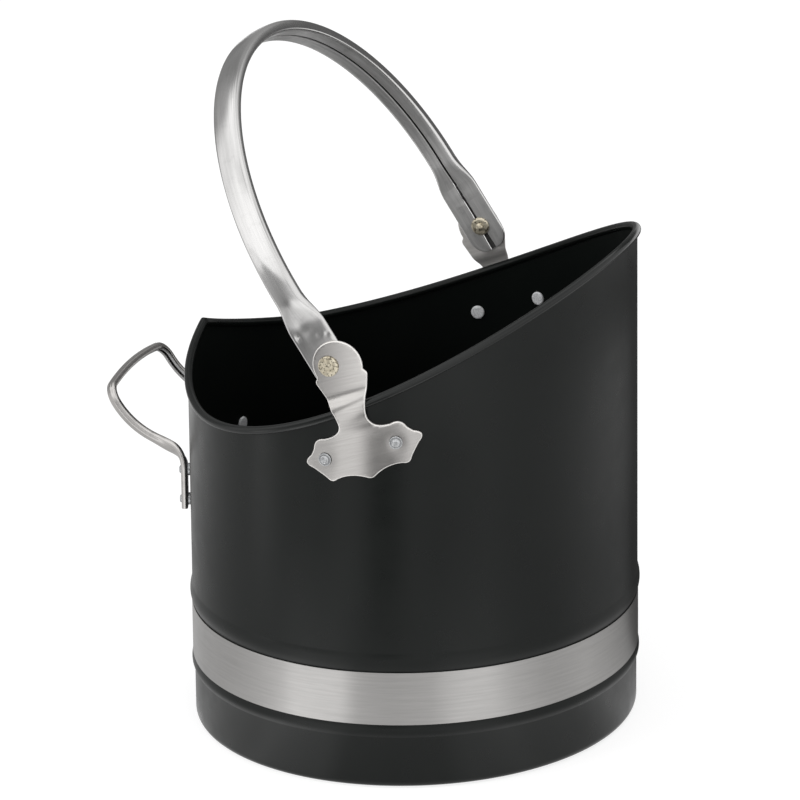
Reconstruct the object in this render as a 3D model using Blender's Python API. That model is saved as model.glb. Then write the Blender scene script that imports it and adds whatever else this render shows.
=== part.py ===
"""Oval sheet steel log carrier with a swinging bail and a fixed rear tilting handle.

Units are metres. The origin is the middle of the underside, +Z is up and +X is the pouring lip.
The oval is wider across Y, where the bail swings on two ears.
"""

import math

import bmesh
import bpy
from mathutils import Matrix, Vector

# Sheet body: an oval with upright walls and a rim cut to a sweeping curve.
HALF_DEPTH = 0.1592
HALF_WIDTH = 0.1723
SHEET = 0.0008
GAP = 0.0003
LIP_HEIGHT = 0.3643
SIDE_HEIGHT = 0.2483
REAR_HEIGHT = 0.2776
LOWEST_ANGLE = math.radians(136.5)
REAR_RISE_POWER = 1.61
FACETS = 60

# Rolled rim round a stiffening wire.
WIRE_RADIUS = 0.0019
ROLL_SHIFT = -0.0004
ROLL_END_ANGLE = math.radians(-68)
ROLL_STEPS = 7
WIRE_SIDES = 6

# Trim band in its seat between two rolled beads.
BAND_BOTTOM = 0.0478
BAND_WIDTH = 0.0390
BAND_SHEET = 0.0006
BAND_SEAT = 0.0005
BAND_BUTT_GAP = 0.001
UPPER_BEAD = 0.0146
LOWER_BEAD = 0.0098
BEAD_RISE = 0.0018
BEAD_STEPS = 3

# Foot of the wall and the floor pan that sits on its flange.
BASE_SET_IN = 0.0009
CORNER_RADIUS = 0.005
CORNER_STEPS = 3
FLANGE_WIDTH = 0.008
JOGGLE_RUN = 0.0018
JOGGLE_CLEARANCE = 0.0005
PAN_EDGE_CLEARANCE = 0.0005

# Ears: scalloped plates that follow the wall, flare over the rim and end in an upright lobe.
EAR_SHEET = 0.0018
EAR_HALF_WIDTH = 0.0441
EAR_SKIRT = 0.0213
LOBE_RADIUS = 0.0179
LOBE_RISE = 0.0627
LOBE_SET_IN = 0.003
LOBE_BLEND = 0.0118
LOBE_NOTCH = math.radians(-18)
FLARE_LENGTH = 0.0145
TIP_RADIUS = 0.0024
TIP_SEGMENTS = 3
ARC_STEPS = 4
LOBE_STEPS = 12
WRAP_CUTS = 9
BEND_CUTS = 4

# Points of half the ear's outline, in shares of its half width and of its lobe's rise. Each row
# has a corner, then the middle of the hollow that leads to the next corner.
EAR_OUTLINE_SHARES = (
    ((0.0, -0.336), (0.322, -0.245)),
    ((0.645, -0.276), (0.760, -0.165)),
    ((1.0, 0.008), (0.830, 0.098)),
    ((0.705, 0.236), (0.335, 0.256)),
    ((0.242, 0.420), (0.300, 0.570)),
    ((0.445, 0.862), (0.405, 0.890)),
)

# Fasteners.
RIVET_SHANK = 0.0024
RIVET_SIDES = 12
EAR_RIVET_PITCH = 0.0522
EAR_RIVET_SHIFT = 0.0024
EAR_HEAD_RADIUS = 0.0035
EAR_HEAD_HEIGHT = 0.0021
INNER_HEAD_RADIUS = 0.005
INNER_HEAD_HEIGHT = 0.0014
PIVOT_SHANK = 0.0022
PIVOT_SIDES = 16
PIVOT_SHIFT = -0.0063
PIVOT_RISE = 0.0638
PIVOT_HEAD_RADIUS = 0.007
PIVOT_HEAD_HEIGHT = 0.0014
BURR_RADIUS = 0.0068
BURR_HEIGHT = 0.0016
TAIL_RADIUS = 0.0028
TAIL_HEIGHT = 0.0012

# Shares of a head's radius and height that shape its edge.
HEAD_EDGE_SHARE = 0.45
HEAD_CROWN_SHARES = (0.72, 0.85)
INNER_FLAT_SHARE = 0.86
TAIL_FLAT_SHARE = 0.7
PIVOT_EDGE_SHARE = 0.6
PIVOT_FLAT_SHARE = 0.88
BURR_FLAT_SHARE = 0.72

# Bail: a strip curled into a slotted tube, flattened at both ends.
BAIL_LEAN = math.radians(32.6)
BAIL_SHEET = 0.0012
BAIL_WIDTH = 0.0206
BAIL_DEPTH = 0.0086
BAIL_CROWN = 0.0008
BAIL_REACH = 0.2152
BAIL_STRAIGHT = 0.0554
BAIL_FLAT_WIDTH = 0.0290
BAIL_FLAT_DEPTH = 0.0029
BAIL_FLAT_REACH = 0.030
BAIL_END_REACH = 0.019
BAIL_END_ROUND = 0.013
BAIL_FLARE = 0.0038
BAIL_SLOT = 0.0015
BAIL_END_SLOT = 0.0026
BAIL_EDGE_RADIUS = 0.003
BAIL_ARCH_STEPS = 30
BAIL_PINCH_STEPS = 4
BAIL_END_SHARES = (1.0, 0.88, 0.6, 0.25)
BAIL_TIP_SHARE = 0.35
TUBE_EDGE_SHARE = 0.45
TUBE_EDGE_STEPS = 2

# Rear handle: a smaller slotted tube with flattened, riveted feet.
FOOT_ANGLE = math.radians(162)
HANDLE_DROP = 0.1081
HANDLE_SHEET = 0.001
FOOT_WIDTH = 0.015
FOOT_DEPTH = 0.0045
FOOT_STRAIGHT = 0.0296
FOOT_STAND_OFF = 0.002
FOOT_BEND = 0.0155
ARM_WIDTH = 0.0072
ARM_DEPTH = 0.0053
ARM_CROWN = 0.0005
ARM_SLOPE = math.radians(23.5)
ARM_STRAIGHT = 0.0165
ARM_SWEEP = 0.060
ARM_END_SLOPE = math.radians(57.5)
CORNER_BEND = 0.012
CORNER_TURN = math.radians(82)
HANDLE_SLOT = 0.0014
HANDLE_EDGE_RADIUS = 0.0022
FOOT_RIVET_LOW = 0.0055
FOOT_RIVET_HIGH = 0.0278
FOOT_HEAD_RADIUS = 0.0028
FOOT_HEAD_HEIGHT = 0.0013
SPACER_RADIUS = 0.0045
BEND_STEPS = 4
ARM_STEPS = 3
GRIP_STEPS = 3

# How far a cutter runs past what it cuts.
OVERRUN = 0.004

SHARP_ANGLE = math.radians(35)
SLOPE_NUDGE = math.radians(0.5)
RUN_STEPS = 48
LEFT = 1
RIGHT = -1
SIDE_NAMES = {LEFT: "left", RIGHT: "right"}

# Where each ear was riveted on by hand: the run along the wall from the middle of the side to the
# plate's centre, the plate's drop below the rim and its tilt.
EAR_RUNS = {LEFT: 0.0150, RIGHT: 0.0215}
EAR_DROPS = {LEFT: 0.0316, RIGHT: 0.0332}
EAR_TILTS = {LEFT: math.radians(19), RIGHT: math.radians(17)}

# Colour, metallic value and roughness of each finish.
FINISHES = {
    "black_coat": ((0.028, 0.030, 0.029, 1.0), 0.0, 0.45),
    "brushed_steel": ((0.62, 0.61, 0.58, 1.0), 1.0, 0.32),
    "polished_steel": ((0.66, 0.66, 0.64, 1.0), 1.0, 0.22),
    "rivet_steel": ((0.60, 0.61, 0.62, 1.0), 1.0, 0.35),
    "brass": ((0.72, 0.64, 0.45, 1.0), 1.0, 0.35),
    "wire_steel": ((0.40, 0.40, 0.40, 1.0), 1.0, 0.5),
}


def clear_scene():
    for item in list(bpy.data.objects):
        bpy.data.objects.remove(item, do_unlink=True)


def finish(piece, name):
    """The piece's own material, with the colours of a named finish."""
    label = f"{piece}_{name}"
    colour, metallic, roughness = FINISHES[name]
    made = bpy.data.materials.get(label) or bpy.data.materials.new(label)
    made.use_nodes = True
    shader = made.node_tree.nodes["Principled BSDF"]
    shader.inputs["Base Color"].default_value = colour
    shader.inputs["Metallic"].default_value = metallic
    shader.inputs["Roughness"].default_value = roughness
    return made


def mix(low, high, share):
    return low + (high - low) * share


def eased(value):
    """A smooth step from 0 to 1 as the value goes from 0 to 1."""
    inside = min(max(value, 0.0), 1.0)
    return inside * inside * (3 - 2 * inside)


def spread(low, high, steps):
    """Evenly spaced values with both ends."""
    return [mix(low, high, k / steps) for k in range(steps + 1)]


def add_object(name, mesh_builder, finish_name):
    """Turn a bmesh into a smooth shaded object with outward faces."""
    bmesh.ops.recalc_face_normals(mesh_builder, faces=mesh_builder.faces)
    mesh = bpy.data.meshes.new(name)
    mesh_builder.to_mesh(mesh)
    mesh_builder.free()
    mesh.materials.append(finish(name, finish_name))
    mesh.shade_smooth()
    mesh.set_sharp_from_angle(angle=SHARP_ANGLE)
    made = bpy.data.objects.new(name, mesh)
    bpy.context.scene.collection.objects.link(made)
    return made


def loft(rings, closed):
    """Skin rings of equal length: a closed run, or an open one with a cap at each end."""
    built = bmesh.new()
    rows = [[built.verts.new(point) for point in ring] for ring in rings]
    count = len(rows[0])
    following = rows[1:] + rows[:1] if closed else rows[1:]
    for row, after in zip(rows, following):
        for k in range(count):
            step = (k + 1) % count
            built.faces.new((row[k], row[step], after[step], after[k]))
    if not closed:
        built.faces.new(rows[0])
        built.faces.new(rows[-1])
    return built


def lathe(profile, sides):
    """Turn (radius, height) points about Z. A radius of zero closes on the axis."""
    built = bmesh.new()
    rows = []
    for radius, height in profile:
        if radius == 0:
            rows.append([built.verts.new((0, 0, height))])
            continue
        turns = [2 * math.pi * k / sides for k in range(sides)]
        rows.append([built.verts.new((radius * math.cos(a), radius * math.sin(a), height)) for a in turns])
    solid = rows if len(rows[0]) == 1 else rows + rows[:1]
    for row, after in zip(solid, solid[1:]):
        for k in range(sides):
            step = (k + 1) % sides
            corners = [row[k % len(row)], row[step % len(row)], after[step % len(after)], after[k % len(after)]]
            built.faces.new(list(dict.fromkeys(corners)))
    return built


def wall_point(angle, offset, height):
    """A point at a distance out from the outer wall, at an angle round the oval from the lip."""
    normal = wall_normal(angle)
    on_wall = Vector((HALF_DEPTH * math.cos(angle), HALF_WIDTH * math.sin(angle), height))
    return on_wall + normal * offset


def wall_normal(angle):
    return Vector((math.cos(angle) / HALF_DEPTH, math.sin(angle) / HALF_WIDTH, 0)).normalized()


def rim_height(angle):
    """Top of the rim: a cosine fall from the lip to the low point, then a rise to the rear seam."""
    turn = abs(math.remainder(angle, 2 * math.pi))
    if turn < LOWEST_ANGLE:
        return mix(SIDE_HEIGHT, LIP_HEIGHT, (1 + math.cos(math.pi * turn / LOWEST_ANGLE)) / 2)
    share = (turn - LOWEST_ANGLE) / (math.pi - LOWEST_ANGLE)
    return mix(SIDE_HEIGHT, REAR_HEIGHT, share ** REAR_RISE_POWER)


def rim_stretch(angle):
    """How much taller an upright section of the sloping roll is than a square one."""
    turn = abs(math.remainder(angle, 2 * math.pi))
    start = max(turn - SLOPE_NUDGE, 0)
    end = min(turn + SLOPE_NUDGE, math.pi)
    run = math.hypot(HALF_DEPTH * math.sin(turn), HALF_WIDTH * math.cos(turn)) * (end - start)
    return math.hypot(1, (rim_height(end) - rim_height(start)) / run)


def roll_inner_radius():
    return WIRE_RADIUS + GAP


def roll_outer_radius():
    return roll_inner_radius() + SHEET


def roll_centre_height(angle):
    return rim_height(angle) - roll_outer_radius() * rim_stretch(angle)


def roll_reach():
    """How far the roll stands out from the wall."""
    return ROLL_SHIFT + roll_outer_radius()


def facet_angles():
    return [2 * math.pi * k / FACETS for k in range(FACETS)]


def bead(low, high, low_offset, high_offset):
    """The points inside a rolled bead's half round hump, from its lower to its upper edge."""
    points = []
    for k in range(1, BEAD_STEPS):
        share = k / BEAD_STEPS
        hump = BEAD_RISE * math.sin(math.pi * share)
        points.append((mix(low_offset, high_offset, share) + hump, mix(low, high, share)))
    return points


def wall_profile():
    """Outer face of the wall from the foot's flange to the top of the upper bead."""
    top = BAND_BOTTOM + BAND_WIDTH + GAP
    bottom = BAND_BOTTOM - GAP
    points = [(-BASE_SET_IN - CORNER_RADIUS - FLANGE_WIDTH, 0)]
    for turn in spread(-math.pi / 2, 0, CORNER_STEPS):
        across = -BASE_SET_IN - CORNER_RADIUS + CORNER_RADIUS * math.cos(turn)
        points.append((across, CORNER_RADIUS + CORNER_RADIUS * math.sin(turn)))
    points.append((-BASE_SET_IN, bottom - LOWER_BEAD))
    points += bead(bottom - LOWER_BEAD, bottom, -BASE_SET_IN, -BAND_SEAT)
    points += [(-BAND_SEAT, bottom), (-BAND_SEAT, top)]
    points += bead(top, top + UPPER_BEAD, -BAND_SEAT, 0)
    points.append((0, top + UPPER_BEAD))
    return points


def inner_profile():
    """Inner face of the wall, a sheet's thickness inside the outer face, from top to bottom."""
    points = []
    for offset, height in reversed(wall_profile()[CORNER_STEPS + 2:]):
        points.append((offset - SHEET, height))
    inner = CORNER_RADIUS - SHEET
    for turn in reversed(spread(-math.pi / 2, 0, CORNER_STEPS)):
        across = -BASE_SET_IN - CORNER_RADIUS + inner * math.cos(turn)
        points.append((across, CORNER_RADIUS + inner * math.sin(turn)))
    points.append((-BASE_SET_IN - CORNER_RADIUS - FLANGE_WIDTH, SHEET))
    return points


def roll_profile():
    """Section of the curl, as (offset from the wall, height from the curl's centre)."""
    inner = roll_inner_radius()
    outer = roll_outer_radius()
    inner_start = 2 * math.pi - math.acos(-ROLL_SHIFT / inner)
    outer_end = 2 * math.pi - math.acos(-(ROLL_SHIFT + SHEET) / outer)
    points = []
    for turn in spread(inner_start, ROLL_END_ANGLE, ROLL_STEPS - 1):
        points.append((ROLL_SHIFT + inner * math.cos(turn), inner * math.sin(turn)))
    for turn in spread(ROLL_END_ANGLE, outer_end, ROLL_STEPS):
        points.append((ROLL_SHIFT + outer * math.cos(turn), outer * math.sin(turn)))
    return points


def make_shell():
    """The body: foot flange, wall, beads and rolled rim in one sheet."""
    rings = []
    for angle in facet_angles():
        ring = [wall_point(angle, offset, height) for offset, height in wall_profile()]
        middle = roll_centre_height(angle)
        stretch = rim_stretch(angle)
        ring += [wall_point(angle, offset, middle + rise * stretch) for offset, rise in roll_profile()]
        ring += [wall_point(angle, offset, height) for offset, height in inner_profile()]
        rings.append(ring)
    shell = add_object("bucket_shell", loft(rings, True), "black_coat")
    cut_holes(shell, [*ear_rivet_places(LEFT), *ear_rivet_places(RIGHT), *foot_rivet_places()])
    return shell


def make_rim_wire():
    """The round wire inside the rolled rim."""
    rings = []
    for angle in facet_angles():
        middle = roll_centre_height(angle)
        stretch = rim_stretch(angle)
        ring = []
        for k in range(WIRE_SIDES):
            turn = 2 * math.pi * k / WIRE_SIDES
            rise = WIRE_RADIUS * math.sin(turn) * stretch
            ring.append(wall_point(angle, ROLL_SHIFT + WIRE_RADIUS * math.cos(turn), middle + rise))
        rings.append(ring)
    return add_object("rim_wire", loft(rings, True), "wire_steel")


def make_base_pan():
    """The floor: its middle lies flush with the underside and its edge steps up onto the flange."""
    raised = SHEET + GAP
    step_out = -BASE_SET_IN - CORNER_RADIUS - FLANGE_WIDTH - JOGGLE_CLEARANCE
    step_in = step_out - JOGGLE_RUN
    edge = -BASE_SET_IN - CORNER_RADIUS - PAN_EDGE_CLEARANCE
    profile = [(step_in, 0), (step_out, raised), (edge, raised)]
    profile += [(offset, height + SHEET) for offset, height in reversed(profile)]
    built = bmesh.new()
    rows = []
    for offset, height in profile:
        rows.append([built.verts.new(wall_point(angle, offset, height)) for angle in facet_angles()])
    for row, after in zip(rows, rows[1:]):
        for k in range(FACETS):
            step = (k + 1) % FACETS
            built.faces.new((row[k], row[step], after[step], after[k]))
    built.faces.new(rows[0])
    built.faces.new(rows[-1])
    return add_object("base_pan", built, "black_coat")


def make_steel_band():
    """The trim band: a strip round the body whose ends butt at the rear."""
    low = GAP - BAND_SEAT
    high = low + BAND_SHEET
    top = BAND_BOTTOM + BAND_WIDTH
    section = [(low, BAND_BOTTOM), (high, BAND_BOTTOM), (high, top), (low, top)]
    end = math.pi - BAND_BUTT_GAP / 2 / HALF_WIDTH
    inner_angles = [angle - math.pi for angle in facet_angles()[1:]]
    angles = [-end, *inner_angles, end]
    rings = [[wall_point(angle, offset, height) for offset, height in section] for angle in angles]
    return add_object("steel_band", loft(rings, False), "brushed_steel")


def side_angle(run):
    """Angle from the middle of the side to a wall point that lies a run along the wall."""
    angle = 0.0
    for _ in range(RUN_STEPS):
        pace = math.hypot(HALF_DEPTH * math.cos(angle), HALF_WIDTH * math.sin(angle))
        angle += run / RUN_STEPS / pace
    return angle


def ear_place(across, up, side):
    """Run along the wall and height of a point given on the ear's own tilted axes."""
    tilt = EAR_TILTS[side]
    base = roll_centre_height(math.pi / 2 - side_angle(EAR_RUNS[side])) - EAR_DROPS[side]
    run = EAR_RUNS[side] + across * math.cos(tilt) - up * math.sin(tilt)
    height = base + across * math.sin(tilt) + up * math.cos(tilt)
    return run, height


def lobe_share(above):
    """How far the plate has left the rim for its upright lobe, by height above the roll's centre."""
    return eased((above - roll_inner_radius()) / LOBE_BLEND)


def ear_offset(above):
    """Distance of the plate's inner face from the wall, before the lobe draws it in."""
    over_rim = roll_reach() + GAP
    return mix(GAP, over_rim, eased((above + roll_outer_radius()) / FLARE_LENGTH + 1))


def ear_slope(above):
    """Slope of the plate's side view."""
    nudge = SHEET / 2
    rise = []
    for height in (above - nudge, above + nudge):
        rise.append(mix(ear_offset(height), -LOBE_SET_IN, lobe_share(height)))
    return (rise[1] - rise[0]) / (2 * nudge)


def ear_point(across, up, lift, side):
    """A point of the bent plate: its flat outline place and its height above the inner face."""
    run, height = ear_place(across, up, side)
    angle = math.pi / 2 - side_angle(run)
    above = height - roll_centre_height(angle)
    thick = lift * math.hypot(1, ear_slope(above))
    on_rim = wall_point(angle, ear_offset(above) + thick, height)
    on_lobe = Vector((on_rim.x, HALF_WIDTH - LOBE_SET_IN + thick, height))
    point = on_rim.lerp(on_lobe, lobe_share(above))
    point.y *= side
    return point


def arc_through(start, middle, end):
    """Points of a smooth arch from start to end through a middle point, without the start."""
    points = []
    for k in range(1, ARC_STEPS + 1):
        share = k / ARC_STEPS
        bend = 2 * share * (1 - share)
        pull = middle * 2 - (start + end) / 2
        points.append(start * (1 - share) ** 2 + pull * bend + end * share ** 2)
    return points


def lobe_edge(turn):
    return Vector((LOBE_RADIUS * math.cos(turn), LOBE_RISE + LOBE_RADIUS * math.sin(turn)))


def ear_outline():
    """Half the outline from the middle of the skirt to the lobe's top, and which points are tips."""
    scale = Vector((EAR_HALF_WIDTH, LOBE_RISE))
    rows = [[Vector(share) * scale for share in row] for row in EAR_OUTLINE_SHARES]
    corners = [row[0] for row in rows]
    corners.append(lobe_edge(LOBE_NOTCH))
    points = [Vector((0, -EAR_SKIRT))]
    tips = [0]
    for (_, hollow), corner in zip(rows, corners[1:]):
        points += arc_through(points[-1], hollow, corner)
        tips.append(len(points) - 1)
    points += [lobe_edge(turn) for turn in spread(LOBE_NOTCH, math.pi / 2, LOBE_STEPS)[1:]]
    return points, tips[:-1]


def make_ear(side):
    """A flat scalloped outline, cut into strips, thickened and then bent over the rim."""
    half, tips = ear_outline()
    mirrored = [Vector((-point.x, point.y)) for point in reversed(half[1:-1])]
    built = bmesh.new()
    verts = [built.verts.new((point.x, point.y, 0)) for point in half + mirrored]
    built.faces.new(verts)
    skip = len(half) * 2 - 2
    rounded = {verts[k] for k in tips} | {verts[(skip - k) % skip] for k in tips}
    bmesh.ops.bevel(
        built,
        geom=list(rounded),
        offset=TIP_RADIUS,
        segments=TIP_SEGMENTS,
        profile=0.5,
        affect="VERTICES",
    )
    cut_bends(built, side)
    bmesh.ops.extrude_face_region(built, geom=built.faces[:])
    raise_copy(built)
    for vert in built.verts:
        vert.co = ear_point(vert.co.x, vert.co.y, vert.co.z, side)
    ear = add_object(f"{SIDE_NAMES[side]}_ear", built, "brushed_steel")
    places = ear_rivet_places(side)
    places.append((pivot_frame(side), PIVOT_SHANK + GAP, PIVOT_SIDES))
    cut_holes(ear, places)
    return ear


def raise_copy(built):
    """Lift the copied half of an extruded flat plate by the plate's thickness."""
    split = len(built.verts) // 2
    built.verts.ensure_lookup_table()
    for vert in built.verts[split:]:
        vert.co.z += EAR_SHEET


def cut_bends(built, side):
    """Add edges across the flat plate where it wraps the wall and bends at the rim."""
    for across in spread(-EAR_HALF_WIDTH, EAR_HALF_WIDTH, WRAP_CUTS)[1:-1]:
        slice_plate(built, Vector((across, 0, 0)), Vector((1, 0, 0)))
    lean = rim_skew(side)
    flare = spread(-roll_outer_radius() - FLARE_LENGTH, -roll_outer_radius(), BEND_CUTS)
    fall = spread(roll_inner_radius(), roll_inner_radius() + LOBE_BLEND, BEND_CUTS)
    for above in flare + fall:
        up = (EAR_DROPS[side] + above) / math.cos(EAR_TILTS[side])
        slice_plate(built, Vector((0, up, 0)), Vector((-math.sin(lean), math.cos(lean), 0)))


def rim_skew(side):
    """Angle between the rim and the plate's own cross axis, on the flat plate."""
    run = EAR_RUNS[side]
    rise = rim_height(math.pi / 2 - side_angle(run)) - rim_height(math.pi / 2)
    return math.atan2(rise, run) - EAR_TILTS[side]


def slice_plate(built, point, normal):
    geometry = built.verts[:] + built.edges[:] + built.faces[:]
    bmesh.ops.bisect_plane(built, geom=geometry, plane_co=point, plane_no=normal)


def frame_at(point, outward):
    """A placement whose Z runs outward and whose X is level."""
    level = Vector((0, 0, 1)).cross(outward).normalized()
    rise = outward.cross(level)
    turn = Matrix((level, rise, outward)).transposed().to_4x4()
    return Matrix.Translation(point) @ turn


def ear_rivet_places(side):
    """Placement on the outer wall, hole radius and sides for both rivets of an ear."""
    places = []
    for half in (0.5, -0.5):
        run, height = ear_place(EAR_RIVET_SHIFT * side + EAR_RIVET_PITCH * half, 0, side)
        angle = (math.pi / 2 - side_angle(run)) * side
        place = frame_at(wall_point(angle, 0, height), wall_normal(angle))
        places.append((place, RIVET_SHANK + GAP, RIVET_SIDES))
    return places


def foot_rivet_places():
    """The same for the rear handle's four rivets, left foot first, upper before lower."""
    places = []
    for side in (LEFT, RIGHT):
        angle = FOOT_ANGLE * side
        for rise in (FOOT_RIVET_HIGH, FOOT_RIVET_LOW):
            place = frame_at(wall_point(angle, 0, foot_bottom() + rise), wall_normal(angle))
            places.append((place, RIVET_SHANK + GAP, RIVET_SIDES))
    return places


def pivot_point(side):
    """Centre of the bail's pivot on the inner face of an ear's lobe. The right ear sets the line."""
    point = ear_point(PIVOT_SHIFT, PIVOT_RISE, 0, RIGHT)
    point.y *= side * RIGHT
    return point


def pivot_frame(side):
    return frame_at(pivot_point(side), Vector((0, side, 0)))


def cut_holes(target, places):
    """Drill round holes through a piece with one hidden cutter."""
    built = bmesh.new()
    for place, radius, sides in places:
        reach = FOOT_STAND_OFF + FOOT_DEPTH + OVERRUN
        pin = lathe([(0, -reach), (radius, -reach), (radius, reach), (0, reach)], sides)
        bmesh.ops.transform(pin, matrix=place, verts=pin.verts)
        mesh = bpy.data.meshes.new("drill")
        pin.to_mesh(mesh)
        pin.free()
        built.from_mesh(mesh)
        bpy.data.meshes.remove(mesh)
    cutter = add_object(f"{target.name}_drill", built, "wire_steel")
    cutter.hide_render = True
    cutter.display_type = "WIRE"
    cutter.parent = target
    cutter.matrix_parent_inverse = target.matrix_world.inverted()
    drill = target.modifiers.new("holes", "BOOLEAN")
    drill.operation = "DIFFERENCE"
    drill.solver = "EXACT"
    drill.object = cutter


def rivet_profile(inside, outside, head_radius, head_height):
    """A rivet: a flat inner head, a shank and a domed outer head, from the inner end."""
    crown_radius, crown_height = HEAD_CROWN_SHARES
    return [
        (0, inside - INNER_HEAD_HEIGHT),
        (INNER_HEAD_RADIUS * INNER_FLAT_SHARE, inside - INNER_HEAD_HEIGHT),
        (INNER_HEAD_RADIUS, inside - INNER_HEAD_HEIGHT / 2),
        (INNER_HEAD_RADIUS, inside),
        (RIVET_SHANK, inside),
        (RIVET_SHANK, outside),
        (head_radius, outside),
        (head_radius, outside + head_height * HEAD_EDGE_SHARE),
        (head_radius * crown_radius, outside + head_height * crown_height),
        (0, outside + head_height),
    ]


def make_ear_rivets(side):
    inside = -SHEET - GAP
    outside = GAP + EAR_SHEET + GAP
    for (place, _, sides), end in zip(ear_rivet_places(side), ("front", "rear")):
        built = lathe(rivet_profile(inside, outside, EAR_HEAD_RADIUS, EAR_HEAD_HEIGHT), sides)
        rivet = add_object(f"{SIDE_NAMES[side]}_ear_rivet_{end}", built, "rivet_steel")
        rivet.matrix_world = place


def make_pivot(side):
    """The brass pivot rivet through lobe and bail, and the burr it is peened over."""
    face = EAR_SHEET + GAP
    bail_inner = -GAP - BAIL_FLAT_DEPTH
    burr_face = bail_inner - GAP
    burr_back = burr_face - BURR_HEIGHT
    tail = burr_back - GAP
    rivet = [
        (0, tail - TAIL_HEIGHT),
        (TAIL_RADIUS * TAIL_FLAT_SHARE, tail - TAIL_HEIGHT),
        (TAIL_RADIUS, tail - TAIL_HEIGHT / 3),
        (TAIL_RADIUS, tail),
        (PIVOT_SHANK, tail),
        (PIVOT_SHANK, face),
        (PIVOT_HEAD_RADIUS, face),
        (PIVOT_HEAD_RADIUS, face + PIVOT_HEAD_HEIGHT * PIVOT_EDGE_SHARE),
        (PIVOT_HEAD_RADIUS * PIVOT_FLAT_SHARE, face + PIVOT_HEAD_HEIGHT),
        (0, face + PIVOT_HEAD_HEIGHT),
    ]
    bore = PIVOT_SHANK + GAP
    burr = [
        (bore, burr_back),
        (BURR_RADIUS * BURR_FLAT_SHARE, burr_back),
        (BURR_RADIUS, burr_back + BURR_HEIGHT * PIVOT_EDGE_SHARE),
        (BURR_RADIUS, burr_face),
        (bore, burr_face),
    ]
    for label, profile in (("rivet", rivet), ("burr", burr)):
        made = add_object(f"{SIDE_NAMES[side]}_pivot_{label}", lathe(profile, PIVOT_SIDES), "brass")
        made.matrix_world = pivot_frame(side)


def slotted_tube(width, depth, slot, sheet, crown, edge):
    """Section of a strip curled into a flat tube with a slot, as (across, inward) points.

    Inward is measured from the edges of the web, whose middle is crowned outward.
    """
    half = width / 2
    round_edge = min(edge, depth * TUBE_EDGE_SHARE)
    outer = [(slot / 2, depth)]
    for turn in spread(0, math.pi / 2, TUBE_EDGE_STEPS):
        across = half - round_edge + round_edge * math.sin(turn)
        outer.append((across, depth - round_edge + round_edge * math.cos(turn)))
    for turn in spread(0, math.pi / 2, TUBE_EDGE_STEPS):
        across = half - round_edge + round_edge * math.cos(turn)
        outer.append((across, round_edge - round_edge * math.sin(turn)))
    chamfer = (depth - 2 * sheet) / 4
    inner = [
        (half - sheet - chamfer, sheet),
        (half - sheet, sheet + chamfer),
        (half - sheet, depth - sheet - chamfer),
        (half - sheet - chamfer, depth - sheet),
        (slot / 2, depth - sheet),
    ]
    flip = [(-across, inward) for across, inward in reversed(outer)]
    inner_flip = [(-across, inward) for across, inward in reversed(inner)]
    return outer + [(0, -crown)] + flip + inner_flip + inner


def bail_flat_face():
    """Distance from the middle plane to the outer face of the bail's flat ends."""
    return pivot_point(LEFT).y - GAP


def bail_half_span():
    """The same for the web where the limbs become the arch."""
    return bail_flat_face() + BAIL_FLARE


def limb_station(reach, end_share):
    """Web position, outward direction and section of a straight limb at a reach from the pivot."""
    open_share = eased((reach - BAIL_FLAT_REACH) / (BAIL_STRAIGHT - BAIL_FLAT_REACH))
    out = mix(bail_flat_face(), bail_half_span(), open_share)
    width = mix(BAIL_FLAT_WIDTH, BAIL_WIDTH, open_share) * end_share
    depth = mix(BAIL_FLAT_DEPTH, BAIL_DEPTH, open_share)
    slot = mix(BAIL_END_SLOT, BAIL_SLOT, eased((reach + BAIL_END_REACH) / BAIL_FLAT_REACH))
    crown = BAIL_CROWN * open_share
    section = slotted_tube(width, depth, slot, BAIL_SHEET, crown, BAIL_EDGE_RADIUS)
    return Vector((0, out, reach)), Vector((0, 1, 0)), section


def bail_stations():
    """Sections from the left end over the arch, as (web point, outward direction, section)."""
    limb = []
    for share in reversed(BAIL_END_SHARES):
        reach = -BAIL_END_REACH + BAIL_END_ROUND * (1 - math.sqrt(1 - share ** 2))
        limb.append(limb_station(reach, mix(BAIL_TIP_SHARE, 1, share)))
    for reach in spread(BAIL_FLAT_REACH, BAIL_STRAIGHT, BAIL_PINCH_STEPS)[:-1]:
        limb.append(limb_station(reach, 1))
    rise = BAIL_REACH - BAIL_STRAIGHT
    span = bail_half_span()
    section = slotted_tube(BAIL_WIDTH, BAIL_DEPTH, BAIL_SLOT, BAIL_SHEET, BAIL_CROWN, BAIL_EDGE_RADIUS)
    arch = []
    for turn in spread(0, math.pi, BAIL_ARCH_STEPS):
        point = Vector((0, span * math.cos(turn), BAIL_STRAIGHT + rise * math.sin(turn)))
        outward = Vector((0, math.cos(turn) / span, math.sin(turn) / rise)).normalized()
        arch.append((point, outward, section))
    flip = Vector((1, -1, 1))
    other = [(point * flip, outward * flip, section) for point, outward, section in reversed(limb)]
    return limb + arch + other


def make_bail():
    """The swinging handle, with its origin on the pivot line."""
    rings = []
    for point, outward, section in bail_stations():
        rings.append([point + Vector((across, 0, 0)) - outward * inward for across, inward in section])
    bail = add_object("bail_handle", loft(rings, False), "polished_steel")
    middle = pivot_point(LEFT)
    bail.location = (middle.x, 0, middle.z)
    bail.rotation_euler = (0, -BAIL_LEAN, 0)
    bpy.context.view_layer.update()
    places = [(pivot_frame(side), PIVOT_SHANK + GAP, PIVOT_SIDES) for side in (LEFT, RIGHT)]
    cut_holes(bail, places)
    return bail


def foot_bottom():
    return rim_height(FOOT_ANGLE) - HANDLE_DROP


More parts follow.
